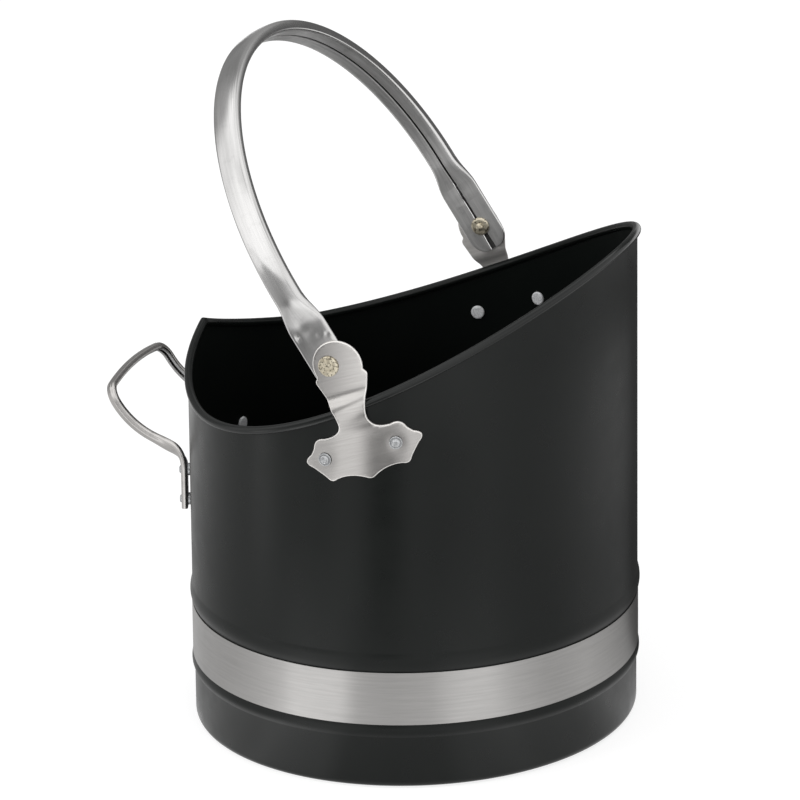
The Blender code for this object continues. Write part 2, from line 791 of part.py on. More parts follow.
def handle_side_view():
    """Half the handle's path from its foot: (out, height, slope, twist share, open share)."""
    twist_end = FOOT_BEND + ARM_STRAIGHT
    points = [(0, 0, math.pi / 2, 0, 0), (0, FOOT_STRAIGHT, math.pi / 2, 0, 0)]
    for slope in spread(math.pi / 2, ARM_SLOPE, BEND_STEPS)[1:]:
        out = FOOT_BEND * (1 - math.sin(slope))
        height = FOOT_STRAIGHT + FOOT_BEND * math.cos(slope)
        share = FOOT_BEND * (math.pi / 2 - slope) / twist_end
        points.append((out, height, slope, share, share))
    start_out, start_height = points[-1][:2]
    bent = points[-1][3]
    for k in range(1, ARM_STEPS + 1):
        reach = ARM_STRAIGHT * k / ARM_STEPS
        share = mix(bent, 1, k / ARM_STEPS)
        out = start_out + reach * math.cos(ARM_SLOPE)
        points.append((out, start_height + reach * math.sin(ARM_SLOPE), ARM_SLOPE, share, share))
    start_out, start_height = points[-1][:2]
    for slope in spread(ARM_SLOPE, ARM_END_SLOPE, BEND_STEPS)[1:]:
        out = start_out + ARM_SWEEP * (math.sin(slope) - math.sin(ARM_SLOPE))
        height = start_height + ARM_SWEEP * (math.cos(ARM_SLOPE) - math.cos(slope))
        points.append((out, height, slope, 1, 1))
    return points


def handle_stations(side):
    """Sections of one half of the handle, from the foot to the middle of the grip."""
    normal = wall_normal(FOOT_ANGLE * side)
    stand = FOOT_STAND_OFF + FOOT_DEPTH / 2
    start = wall_point(FOOT_ANGLE * side, stand, foot_bottom())
    sideways = Vector((0, side, 0))
    foot_twist = math.atan2(normal.y * side, -normal.x)
    stations = []
    for out, height, slope, twist_share, open_share in handle_side_view():
        along = Vector((-math.cos(slope), 0, math.sin(slope)))
        under = Vector((-math.sin(slope), 0, -math.cos(slope)))
        twist = mix(foot_twist, math.pi / 2, eased(twist_share))
        outward = under * math.cos(twist) + sideways * math.sin(twist)
        point = start + Vector((-out, 0, height))
        stations.append((point, along, outward, open_share))
    corner, along = stations[-1][:2]
    centre = corner - sideways * CORNER_BEND
    grip_bend = CORNER_BEND + abs(centre.y) / math.cos(CORNER_TURN)
    turns = spread(0, CORNER_TURN, BEND_STEPS)[1:] + spread(CORNER_TURN, math.pi / 2, GRIP_STEPS)[1:]
    for turn in turns:
        outward = sideways * math.cos(turn) + along * math.sin(turn)
        heading = along * math.cos(turn) - sideways * math.sin(turn)
        point = centre + outward * CORNER_BEND
        if turn > CORNER_TURN:
            bend_end = sideways * math.cos(CORNER_TURN) + along * math.sin(CORNER_TURN)
            point += (outward - bend_end) * (grip_bend - CORNER_BEND)
        stations.append((point, heading, outward, 1))
    return stations


def handle_ring(station):
    """The section's points at one station, centred on the path."""
    point, along, outward, open_share = station
    width = mix(FOOT_WIDTH, ARM_WIDTH, eased(open_share))
    depth = mix(FOOT_DEPTH, ARM_DEPTH, eased(open_share))
    crown = ARM_CROWN * open_share
    section = slotted_tube(width, depth, HANDLE_SLOT, HANDLE_SHEET, crown, HANDLE_EDGE_RADIUS)
    across_axis = outward.cross(along)
    return [point + across_axis * across + outward * (depth / 2 - inward) for across, inward in section]


def make_rear_handle():
    """The fixed handle for tilting, from the left foot round the grip to the right foot."""
    left = handle_stations(LEFT)
    right = [(point, -along, outward, share) for point, along, outward, share in handle_stations(RIGHT)]
    rings = [handle_ring(station) for station in left + right[-2::-1]]
    handle = add_object("rear_handle", loft(rings, False), "polished_steel")
    cut_holes(handle, foot_rivet_places())
    return handle


def make_foot_fasteners():
    """Four rivets and the spacers that hold the handle's feet off the wall."""
    inside = -SHEET - GAP
    outside = FOOT_STAND_OFF + FOOT_DEPTH + GAP
    bore = RIVET_SHANK + GAP
    spacer = [
        (bore, GAP),
        (SPACER_RADIUS, GAP),
        (SPACER_RADIUS, FOOT_STAND_OFF - GAP),
        (bore, FOOT_STAND_OFF - GAP),
    ]
    names = [f"{side}_{level}" for side in ("left", "right") for level in ("upper", "lower")]
    for (place, _, sides), name in zip(foot_rivet_places(), names):
        built = lathe(rivet_profile(inside, outside, FOOT_HEAD_RADIUS, FOOT_HEAD_HEIGHT), sides)
        add_object(f"handle_rivet_{name}", built, "rivet_steel").matrix_world = place
        add_object(f"handle_spacer_{name}", lathe(spacer, sides), "rivet_steel").matrix_world = place


def build():
    clear_scene()
    make_shell()
    make_rim_wire()
    make_base_pan()
    make_steel_band()
    for side in (LEFT, RIGHT):
        make_ear(side)
        make_ear_rivets(side)
        make_pivot(side)
    make_bail()
    make_rear_handle()
    make_foot_fasteners()


build()
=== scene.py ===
"""Looks of an oval steel log carrier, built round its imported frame.

Units are metres. +X is the pouring lip, the bail swings about Y and +Z is up.
"""

import math

import bmesh
import bpy
from mathutils import Matrix, Vector, noise


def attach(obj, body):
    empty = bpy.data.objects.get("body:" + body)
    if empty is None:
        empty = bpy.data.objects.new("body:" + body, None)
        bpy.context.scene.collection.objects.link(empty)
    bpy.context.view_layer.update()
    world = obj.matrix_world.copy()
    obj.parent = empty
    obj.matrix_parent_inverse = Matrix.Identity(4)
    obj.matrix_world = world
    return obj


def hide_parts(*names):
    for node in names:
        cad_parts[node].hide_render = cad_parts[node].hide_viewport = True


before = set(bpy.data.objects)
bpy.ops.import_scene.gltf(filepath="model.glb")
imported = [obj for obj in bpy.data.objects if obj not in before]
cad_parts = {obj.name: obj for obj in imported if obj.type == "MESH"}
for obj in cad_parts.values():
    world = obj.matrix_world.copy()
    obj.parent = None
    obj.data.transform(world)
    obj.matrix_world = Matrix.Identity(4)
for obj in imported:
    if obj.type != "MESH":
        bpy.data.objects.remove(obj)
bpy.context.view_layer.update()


# Sheet body: an oval with upright walls and a rim cut to a sweeping curve.
HALF_DEPTH = 0.1592
HALF_WIDTH = 0.1723
SHEET = 0.0008
GAP = 0.0003
LIP_HEIGHT = 0.3643
SIDE_HEIGHT = 0.2483
REAR_HEIGHT = 0.2776
LOWEST_ANGLE = math.radians(136.5)
REAR_RISE_POWER = 1.61
FACETS = 288

# Rolled rim round a stiffening wire.
WIRE_RADIUS = 0.0019
ROLL_SHIFT = -0.0004
ROLL_END_ANGLE = math.radians(-68)
ROLL_STEPS = 20
ROLL_INNER = WIRE_RADIUS + GAP
ROLL_OUTER = ROLL_INNER + SHEET
ROLL_REACH = ROLL_SHIFT + ROLL_OUTER
WIRE_SIDES = 16

# Trim band in its seat between two rolled beads.
BAND_BOTTOM = 0.0478
BAND_WIDTH = 0.0390
BAND_SHEET = 0.0006
BAND_SEAT = 0.0005
BAND_BUTT_GAP = 0.001
UPPER_BEAD = 0.0146
LOWER_BEAD = 0.0098
BEAD_RISE = 0.0018
BEAD_STEPS = 12
BAND_ROWS = 12

# Foot of the wall and the floor pan that sits on its flange.
BASE_SET_IN = 0.0009
CORNER_RADIUS = 0.005
CORNER_STEPS = 8
FLANGE_WIDTH = 0.008
CORNER_CENTRE = -BASE_SET_IN - CORNER_RADIUS
FLANGE_EDGE = CORNER_CENTRE - FLANGE_WIDTH
JOGGLE_RUN = 0.0018
JOGGLE_STEPS = 12
JOGGLE_CLEARANCE = 0.0005
PAN_EDGE_CLEARANCE = 0.0005

# Ears: scalloped plates that follow the wall, flare over the rim and end in an upright lobe.
EAR_SHEET = 0.0018
EAR_HALF_WIDTH = 0.0441
EAR_SKIRT = 0.0213
LOBE_RADIUS = 0.0179
LOBE_RISE = 0.0627
LOBE_SET_IN = 0.003
LOBE_BLEND = 0.0118
LOBE_NOTCH = math.radians(-18)
FLARE_LENGTH = 0.0145
ARC_STEPS = 12
LOBE_STEPS = 32

# Points of half the ear's outline, in shares of its half width and of its lobe's rise. Each row has
# a corner, then the middle of the hollow that leads to the next corner.
EAR_OUTLINE_SHARES = (
    ((0.0, -0.336), (0.322, -0.245)),
    ((0.645, -0.276), (0.760, -0.165)),
    ((1.0, 0.008), (0.830, 0.098)),
    ((0.705, 0.236), (0.335, 0.256)),
    ((0.242, 0.420), (0.300, 0.570)),
    ((0.445, 0.862), (0.405, 0.890)),
)

# Fasteners.
RIVET_SHANK = 0.0024
RIVET_SIDES = 48
EAR_RIVET_PITCH = 0.0522
EAR_RIVET_SHIFT = 0.0024
EAR_HEAD_RADIUS = 0.00338
EAR_HEAD_HEIGHT = 0.0021
EAR_COLLAR = 0.0047
COLLAR_WIDTH = 0.0011
COLLAR_HEIGHT = 0.0005
COLLAR_LEDGE = 0.0001
INNER_HEAD_RADIUS = 0.005
INNER_HEAD_HEIGHT = 0.0014
PIVOT_SHANK = 0.0022
PIVOT_SIDES = 64
PIVOT_SHIFT = -0.0063
PIVOT_RISE = 0.0638
PIVOT_HEAD_RADIUS = 0.00735
PIVOT_HEAD_HEIGHT = 0.0014
BURR_RADIUS = 0.0068
BURR_HEIGHT = 0.0016
TAIL_RADIUS = 0.0028
TAIL_HEIGHT = 0.0012
BURR_FLAT_SHARE = 0.72
BURR_CONE_SHARE = 0.8

# Rounded heads: the share of the height that stands upright, and of the radius that lies flat.
INNER_HEAD_SHAPE = (0.4, 0.7)
FOOT_HEAD_SHAPE = (0.225, 0.25)
EAR_HEAD_SHAPE = (0.1, 0.3)
PIVOT_HEAD_SHAPE = (0.35, 0.86)
TAIL_SHAPE = (0.3, 0.4)
FLAT_RINGS = (0.75, 0.5, 0.25, 0)
DOME_STEPS = 10

# Bail: a strip curled into a slotted tube, flattened at both ends.
BAIL_LEAN = math.radians(32.6)
BAIL_SHEET = 0.0012
BAIL_WIDTH = 0.0206
BAIL_DEPTH = 0.0086
BAIL_CROWN = 0.0008
BAIL_REACH = 0.2152
BAIL_STRAIGHT = 0.0554
BAIL_FLAT_WIDTH = 0.0290
BAIL_FLAT_DEPTH = 0.0029
BAIL_FLAT_REACH = 0.030
BAIL_END_REACH = 0.019
BAIL_END_ROUND = 0.013
BAIL_FLARE = 0.0038
BAIL_SLOT = 0.0015
BAIL_END_SLOT = 0.0037
BAIL_EDGE_RADIUS = 0.003
BAIL_ARCH_STEPS = 120
BAIL_TIP_SHARE = 0.35
TUBE_EDGE_SHARE = 0.45
TUBE_EDGE_STEPS = 6

# Rear handle: a smaller slotted tube with flattened, riveted feet.
FOOT_ANGLE = math.radians(162)
HANDLE_DROP = 0.1081
HANDLE_SHEET = 0.001
FOOT_WIDTH = 0.015
FOOT_DEPTH = 0.0045
FOOT_STRAIGHT = 0.0296
FOOT_STAND_OFF = 0.002
FOOT_BEND = 0.0155
ARM_WIDTH = 0.0072
ARM_DEPTH = 0.0053
ARM_CROWN = 0.0005
ARM_SLOPE = math.radians(23.5)
ARM_STRAIGHT = 0.0165
ARM_SWEEP = 0.060
ARM_END_SLOPE = math.radians(57.5)
CORNER_BEND = 0.012
CORNER_TURN = math.radians(82)
HANDLE_SLOT = 0.0014
HANDLE_EDGE_RADIUS = 0.0022
FOOT_RIVET_LOW = 0.0055
FOOT_RIVET_HIGH = 0.0278
FOOT_HEAD_RADIUS = 0.0028
FOOT_HEAD_HEIGHT = 0.0013
SPACER_RADIUS = 0.0045
BEND_STEPS = 16
ARM_STEPS = 6
GRIP_STEPS = 24

# How the rim's slope and a run along the wall are measured, and the names of the sides.
SLOPE_NUDGE = math.radians(0.5)
RUN_STEPS = 48
LEFT = 1
RIGHT = -1
SIDE_NAMES = {LEFT: "left", RIGHT: "right"}

# Where each ear was riveted on by hand: the run along the wall from the middle of the side to the
# plate's centre, the plate's drop below the rim and its tilt.
EAR_RUNS = {LEFT: 0.0150, RIGHT: 0.0215}
EAR_DROPS = {LEFT: 0.0316, RIGHT: 0.0332}
EAR_TILTS = {LEFT: math.radians(19), RIGHT: math.radians(17)}


def mix(low, high, share):
    return low + (high - low) * share


def eased(value):
    """A smooth step from 0 to 1 as the value goes from 0 to 1."""
    inside = min(max(value, 0.0), 1.0)
    return inside * inside * (3 - 2 * inside)


def spread(low, high, steps):
    """Evenly spaced values with both ends."""
    return [mix(low, high, k / steps) for k in range(steps + 1)]


def round_turns(count):
    """Evenly spaced angles round a full turn."""
    return [2 * math.pi * k / count for k in range(count)]


def arc(centre, radius, turns):
    """Points on a circle, at these angles from the first axis."""
    across, up = centre
    return [(across + radius * math.cos(turn), up + radius * math.sin(turn)) for turn in turns]


def wall_point(angle, offset, height):
    """A point at a distance out from the outer wall, at an angle round the oval from the lip."""
    normal = wall_normal(angle)
    on_wall = Vector((HALF_DEPTH * math.cos(angle), HALF_WIDTH * math.sin(angle), height))
    return on_wall + normal * offset


def wall_normal(angle):
    return Vector((math.cos(angle) / HALF_DEPTH, math.sin(angle) / HALF_WIDTH, 0)).normalized()


def rim_height(angle):
    """Top of the rim: a cosine fall from the lip to the low point, then a rise to the rear."""
    turn = abs(math.remainder(angle, 2 * math.pi))
    if turn < LOWEST_ANGLE:
        return mix(SIDE_HEIGHT, LIP_HEIGHT, (1 + math.cos(math.pi * turn / LOWEST_ANGLE)) / 2)
    share = (turn - LOWEST_ANGLE) / (math.pi - LOWEST_ANGLE)
    return mix(SIDE_HEIGHT, REAR_HEIGHT, share ** REAR_RISE_POWER)


def rim_stretch(angle):
    """How much taller an upright section of the sloping roll is than a square one."""
    turn = abs(math.remainder(angle, 2 * math.pi))
    start = max(turn - SLOPE_NUDGE, 0)
    end = min(turn + SLOPE_NUDGE, math.pi)
    run = math.hypot(HALF_DEPTH * math.sin(turn), HALF_WIDTH * math.cos(turn)) * (end - start)
    return math.hypot(1, (rim_height(end) - rim_height(start)) / run)


def roll_centre_height(angle):
    return rim_height(angle) - ROLL_OUTER * rim_stretch(angle)


def bead(low, high, low_offset, high_offset):
    """The points inside a rolled bead's half round hump, from its lower to its upper edge."""
    points = []
    for k in range(1, BEAD_STEPS):
        share = k / BEAD_STEPS
        hump = BEAD_RISE * math.sin(math.pi * share)
        points.append((mix(low_offset, high_offset, share) + hump, mix(low, high, share)))
    return points


def wall_profile():
    """Outer face of the wall from the foot's flange to the top of the upper bead."""
    top = BAND_BOTTOM + BAND_WIDTH + GAP
    bottom = BAND_BOTTOM - GAP
    turns = spread(-math.pi / 2, 0, CORNER_STEPS)
    points = [(FLANGE_EDGE, 0)] + arc((CORNER_CENTRE, CORNER_RADIUS), CORNER_RADIUS, turns)
    points.append((-BASE_SET_IN, bottom - LOWER_BEAD))
    points += bead(bottom - LOWER_BEAD, bottom, -BASE_SET_IN, -BAND_SEAT)
    points += [(-BAND_SEAT, bottom), (-BAND_SEAT, top)]
    points += bead(top, top + UPPER_BEAD, -BAND_SEAT, 0)
    points.append((0, top + UPPER_BEAD))
    return points


def inner_profile():
    """Inner face of the wall, a sheet's thickness inside the outer face, from top to bottom."""
    points = []
    for offset, height in reversed(wall_profile()[CORNER_STEPS + 2:]):
        points.append((offset - SHEET, height))
    turns = spread(-math.pi / 2, 0, CORNER_STEPS)[::-1]
    points += arc((CORNER_CENTRE, CORNER_RADIUS), CORNER_RADIUS - SHEET, turns)
    return points + [(FLANGE_EDGE, SHEET)]


def roll_profile():
    """Section of the curl, as (offset from the wall, height from the curl's centre)."""
    inner_start = 2 * math.pi - math.acos(-ROLL_SHIFT / ROLL_INNER)
    outer_end = 2 * math.pi - math.acos(-(ROLL_SHIFT + SHEET) / ROLL_OUTER)
    centre = (ROLL_SHIFT, 0)
    inner = arc(centre, ROLL_INNER, spread(inner_start, ROLL_END_ANGLE, ROLL_STEPS - 1))
    return inner + arc(centre, ROLL_OUTER, spread(ROLL_END_ANGLE, outer_end, ROLL_STEPS))


def side_angle(run):
    """Angle from the middle of the side to a wall point that lies a run along the wall."""
    angle = 0.0
    for _ in range(RUN_STEPS):
        pace = math.hypot(HALF_DEPTH * math.cos(angle), HALF_WIDTH * math.sin(angle))
        angle += run / RUN_STEPS / pace
    return angle


def ear_place(across, up, side):
    """Run along the wall and height of a point given on the ear's own tilted axes."""
    tilt = EAR_TILTS[side]
    base = roll_centre_height(math.pi / 2 - side_angle(EAR_RUNS[side])) - EAR_DROPS[side]
    run = EAR_RUNS[side] + across * math.cos(tilt) - up * math.sin(tilt)
    height = base + across * math.sin(tilt) + up * math.cos(tilt)
    return run, height


def lobe_share(above):
    """How far the plate has left the rim for its lobe, by height above the roll's centre."""
    return eased((above - ROLL_INNER) / LOBE_BLEND)


def ear_offset(above):
    """Distance of the plate's inner face from the wall, before the lobe draws it in."""
    return mix(GAP, ROLL_REACH + GAP, eased((above + ROLL_OUTER) / FLARE_LENGTH + 1))


def ear_slope(above):
    """Slope of the plate's side view."""
    nudge = SHEET / 2
    rise = []
    for height in (above - nudge, above + nudge):
        rise.append(mix(ear_offset(height), -LOBE_SET_IN, lobe_share(height)))
    return (rise[1] - rise[0]) / (2 * nudge)


def ear_point(across, up, lift, side):
    """A point of the bent plate: its flat outline place and its height above the inner face."""
    run, height = ear_place(across, up, side)
    angle = math.pi / 2 - side_angle(run)
    above = height - roll_centre_height(angle)
    thick = lift * math.hypot(1, ear_slope(above))
    on_rim = wall_point(angle, ear_offset(above) + thick, height)
    on_lobe = Vector((on_rim.x, HALF_WIDTH - LOBE_SET_IN + thick, height))
    point = on_rim.lerp(on_lobe, lobe_share(above))
    point.y *= side
    return point


def arc_through(start, middle, end):
    """Points of a smooth arch from start to end through a middle point, without the start."""
    points = []
    for k in range(1, ARC_STEPS + 1):
        share = k / ARC_STEPS
        bend = 2 * share * (1 - share)
        pull = middle * 2 - (start + end) / 2
        points.append(start * (1 - share) ** 2 + pull * bend + end * share ** 2)
    return points


def lobe_edge(turn):
    return Vector((LOBE_RADIUS * math.cos(turn), LOBE_RISE + LOBE_RADIUS * math.sin(turn)))


def ear_outline():
    """Half the outline from the skirt's middle to the lobe's top, and which points are tips."""
    scale = Vector((EAR_HALF_WIDTH, LOBE_RISE))
    rows = [[Vector(share) * scale for share in row] for row in EAR_OUTLINE_SHARES]
    corners = [row[0] for row in rows]
    corners.append(lobe_edge(LOBE_NOTCH))
    points = [Vector((0, -EAR_SKIRT))]
    tips = [0]
    for (_, hollow), corner in zip(rows, corners[1:]):
        points += arc_through(points[-1], hollow, corner)
        tips.append(len(points) - 1)
    points += [lobe_edge(turn) for turn in spread(LOBE_NOTCH, math.pi / 2, LOBE_STEPS)[1:]]
    return points, tips[:-1]


def frame_at(point, outward):
    """A placement whose Z runs outward and whose X is level."""
    level = Vector((0, 0, 1)).cross(outward).normalized()
    rise = outward.cross(level)
    turn = Matrix((level, rise, outward)).transposed().to_4x4()
    return Matrix.Translation(point) @ turn


def ear_rivet_places(side):
    """Placements on the outer wall for both rivets of an ear, front before rear."""
    places = []
    for half in (0.5, -0.5):
        run, height = ear_place(EAR_RIVET_SHIFT * side + EAR_RIVET_PITCH * half, 0, side)
        angle = (math.pi / 2 - side_angle(run)) * side
        places.append(frame_at(wall_point(angle, 0, height), wall_normal(angle)))
    return places


def foot_rivet_places():
    """The same for the rear handle's four rivets, left foot first, upper before lower."""
    places = []
    for side in (LEFT, RIGHT):
        angle = FOOT_ANGLE * side
        for rise in (FOOT_RIVET_HIGH, FOOT_RIVET_LOW):
            point = wall_point(angle, 0, foot_bottom() + rise)
            places.append(frame_at(point, wall_normal(angle)))
    return places


def pivot_point(side):
    """Centre of the bail's pivot on an ear lobe's inner face. The right ear sets the line."""
    point = ear_point(PIVOT_SHIFT, PIVOT_RISE, 0, RIGHT)
    point.y *= side * RIGHT
    return point


def pivot_frame(side):
    return frame_at(pivot_point(side), Vector((0, side, 0)))


def bail_flat_face():
    """Distance from the middle plane to the outer face of the bail's flat ends."""
    return pivot_point(LEFT).y - GAP


def bail_half_span():
    """The same for the web where the limbs become the arch."""
    return bail_flat_face() + BAIL_FLARE


def foot_bottom():
    return rim_height(FOOT_ANGLE) - HANDLE_DROP


def handle_side_view():
    """Half the handle's path from its foot: (out, height, slope, share of the way to the arm)."""
    twist_end = FOOT_BEND + ARM_STRAIGHT
    points = [(0, 0, math.pi / 2, 0), (0, FOOT_STRAIGHT, math.pi / 2, 0)]
    for slope in spread(math.pi / 2, ARM_SLOPE, BEND_STEPS)[1:]:
        out = FOOT_BEND * (1 - math.sin(slope))
        height = FOOT_STRAIGHT + FOOT_BEND * math.cos(slope)
        share = FOOT_BEND * (math.pi / 2 - slope) / twist_end
        points.append((out, height, slope, share))
    start_out, start_height = points[-1][:2]
    bent = points[-1][3]
    for k in range(1, ARM_STEPS + 1):
        reach = ARM_STRAIGHT * k / ARM_STEPS
        share = mix(bent, 1, k / ARM_STEPS)
        out = start_out + reach * math.cos(ARM_SLOPE)
        points.append((out, start_height + reach * math.sin(ARM_SLOPE), ARM_SLOPE, share))
    start_out, start_height = points[-1][:2]
    for slope in spread(ARM_SLOPE, ARM_END_SLOPE, BEND_STEPS)[1:]:
        out = start_out + ARM_SWEEP * (math.sin(slope) - math.sin(ARM_SLOPE))
        height = start_height + ARM_SWEEP * (math.cos(ARM_SLOPE) - math.cos(slope))
        points.append((out, height, slope, 1))
    return points


def handle_stations(side):
    """One half of the handle, foot to mid grip: (point, along, outward, share of arm's size)."""
    normal = wall_normal(FOOT_ANGLE * side)
    stand = FOOT_STAND_OFF + FOOT_DEPTH / 2
    start = wall_point(FOOT_ANGLE * side, stand, foot_bottom())
    sideways = Vector((0, side, 0))
    foot_twist = math.atan2(normal.y * side, -normal.x)
    stations = []
    for out, height, slope, share in handle_side_view():
        along = Vector((-math.cos(slope), 0, math.sin(slope)))
        under = Vector((-math.sin(slope), 0, -math.cos(slope)))
        twist = mix(foot_twist, math.pi / 2, eased(share))
        outward = under * math.cos(twist) + sideways * math.sin(twist)
        point = start + Vector((-out, 0, height))
        stations.append((point, along, outward, share))
    corner, along = stations[-1][:2]
    centre = corner - sideways * CORNER_BEND
    grip_bend = CORNER_BEND + abs(centre.y) / math.cos(CORNER_TURN)
    turns = spread(0, CORNER_TURN, BEND_STEPS)[1:]
    turns += spread(CORNER_TURN, math.pi / 2, GRIP_STEPS)[1:]
    for turn in turns:
        outward = sideways * math.cos(turn) + along * math.sin(turn)
        heading = along * math.cos(turn) - sideways * math.sin(turn)
        point = centre + outward * CORNER_BEND
        if turn > CORNER_TURN:
            bend_end = sideways * math.cos(CORNER_TURN) + along * math.sin(CORNER_TURN)
            point += (outward - bend_end) * (grip_bend - CORNER_BEND)
        stations.append((point, heading, outward, 1))
    return stations


# Finer shapes than the solids have. The far ear is narrower, as the photograph shows it.
FRONT_ROUND = 0.0008
BACK_ROUND = 0.0005
ROUND_STEPS = 3
FAR_EAR_SHARE = 0.88
CELL = 0.0018
TIP_STEPS = 10
RIVET_DIMPLE = 0.0006
DIMPLE_REACH = 0.0058
INNER_DENT = 0.00012
HEAD_DENT = 0.0003
DENT_SCALE = 420.0
TOUCH = 0.00001
FLANGE_TURN = math.radians(30)
LIMB_STEP = 0.0012
END_STEPS = 12
WEB_STEPS = 16
BRIGHT_SLOT_RINGS = 48
SHARP_ANGLE = math.radians(35)
HEAD_SHARP_ANGLE = math.radians(50)

# The materials of each piece's faces, by their place in its list.
FRONT, BACK, EDGE = 0, 1, 2
OUTSIDE, WITHIN, RUBBED = 0, 1, 2
# HIDDEN faces lie inside a tube and take its painted shade.
BRIGHT, FLAP, HIDDEN = 0, 1, 2

# How each tip of the ear's outline is rounded, from the skirt's middle up: how far along both edges
# the curve starts, and how far its control point stands out.
TIP_CURVES = (
    (0.0044, 0.0004),
    (0.0048, 0.0008),
    (0.0074, 0.0030),
    (0.0068, 0.0018),
    (0.0030, 0.0),
    (0.0022, 0.0),
)

# Marks that the flattening press left on each limb: across, reach, radius across, radius along and
# depth.
PRESS_MARKS = (
    (-0.0098, 0.0264, 0.0010, 0.0026, 0.0007),
    (0.0054, 0.0222, 0.0014, 0.0014, 0.0004),
    (0.0112, 0.0200, 0.0014, 0.0013, 0.0004),
    (0.0010, 0.0250, 0.0060, 0.0040, 0.0004),
    (-0.0030, 0.0340, 0.0050, 0.0060, 0.0003),
)


def distances(points, closed):
    """Distance of each point along a line of points, and the full length last if it is closed."""
    total = 0.0
    marks = [total]
    following = points[1:] + points[:1] if closed else points[1:]
    for point, after in zip(points, following):
        total += (after - point).length
        marks.append(total)
    return marks


def skin(name, rings, run, closed, kinds=None):
    """Quads between closed sections, with a 'flow' map of run and girth.

    kinds has the material of each step round the girth.
    """
    count = len(rings[0])
    girth = distances(rings[len(rings) // 2], True)
    points = [point for ring in rings for point in ring]
    faces = []
    flow = []
    slots = []
    for i in range(len(rings) if closed else len(rings) - 1):
        row = i * count
        after = (i + 1) % len(rings) * count
        for k in range(count):
            following = (k + 1) % count
            faces.append((row + k, row + following, after + following, after + k))
            for along, around in ((i, k), (i, k + 1), (i + 1, k + 1), (i + 1, k)):
                flow += (run[along], girth[around])
            slots.append(kinds[k] if kinds else 0)
    if not closed:
        for start in (0, len(points) - count):
            faces.append(tuple(range(start, start + count)))
            flow += (0.0, 0.0) * count
            slots.append(0)
    mesh = bpy.data.meshes.new(name)
    mesh.from_pydata(points, [], faces)
    mesh.uv_layers.new(name="flow").data.foreach_set("uv", flow)
    mesh.polygons.foreach_set("material_index", slots)
    return mesh


def joined(built, rows):
    """Quads between closed rows of vertices."""
    faces = []
    for row, after in zip(rows, rows[1:]):
        for k in range(len(row)):
            following = (k + 1) % len(row)
            faces.append(built.faces.new((row[k], row[following], after[following], after[k])))
    return faces


def as_mesh(built, name):
    mesh = bpy.data.meshes.new(name)
    built.to_mesh(mesh)
    built.free()
    return mesh


def placed(name, data):
    """A new object in the scene."""
    made = bpy.data.objects.new(name, data)
    bpy.context.scene.collection.objects.link(made)
    return made


def piece(name, mesh, materials, body, nodes, sharp=SHARP_ANGLE):
    """Show a mesh in place of CAD nodes, riding on their body."""
    built = bmesh.new()
    built.from_mesh(mesh)
    bmesh.ops.recalc_face_normals(built, faces=built.faces)
    built.to_mesh(mesh)
    built.free()
    for material in materials:
        mesh.materials.append(material)
    mesh.shade_smooth()
    mesh.set_sharp_from_angle(angle=sharp)
    made = placed(name, mesh)
    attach(made, body)
    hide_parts(*nodes)


def oval_skin(name, section, kinds=None):
    """A skin round the oval, from a function that gives an angle's (offset, height) places."""
    rings = []
    for angle in round_turns(FACETS):
        rings.append([wall_point(angle, offset, height) for offset, height in section(angle)])
    run = distances([wall_point(angle, 0, 0) for angle in round_turns(FACETS)], True)
    return skin(name, rings, run, True, kinds)


def on_rim(angle, profile):
    """The places of a profile that is given round the roll's centre."""
    middle = roll_centre_height(angle)
    stretch = rim_stretch(angle)
    return [(offset, middle + rise * stretch) for offset, rise in profile]


def body_section(angle):
    return wall_profile() + on_rim(angle, roll_profile()) + inner_profile()


def make_body():
    kinds = [OUTSIDE] * len(wall_profile())
    kinds += [RUBBED if offset > ROLL_SHIFT else OUTSIDE for offset, _ in roll_profile()[:-1]]
    kinds += [WITHIN] * len(inner_profile()) + [OUTSIDE]
    mesh = oval_skin("body_sheet", body_section, kinds)
    piece("body_sheet", mesh, [COAT, INSIDE, RIM], "bucket", ["bucket_shell"])


def wire_section(angle):
    return on_rim(angle, arc((ROLL_SHIFT, 0), WIRE_RADIUS, round_turns(WIRE_SIDES)))


def make_wire():
    mesh = oval_skin("rim_core", wire_section)
    piece("rim_core", mesh, [WIRE], "bucket", ["rim_wire"])


def make_pan():
    """The floor: a level middle, a stepped edge and a closed top and underside."""
    raised = SHEET + GAP
    step_out = FLANGE_EDGE - JOGGLE_CLEARANCE
    step_in = step_out - JOGGLE_RUN
    edge = CORNER_CENTRE - PAN_EDGE_CLEARANCE
    under = []
    for share in spread(0, 1, JOGGLE_STEPS):
        under.append((mix(step_in, step_out, share), raised * eased(share)))
    under.append((edge, raised))
    profile = under + [(offset, height + SHEET) for offset, height in reversed(under)]
    built = bmesh.new()
    rows = []
    for offset, height in profile:
        points = [wall_point(angle, offset, height) for angle in round_turns(FACETS)]
        rows.append([built.verts.new(point) for point in points])
    joined(built, rows)
    built.faces.new(rows[0])
    built.faces.new(rows[-1])
    mesh = as_mesh(built, "floor_pan")
    piece("floor_pan", mesh, [INSIDE], "bucket", ["base_pan"])


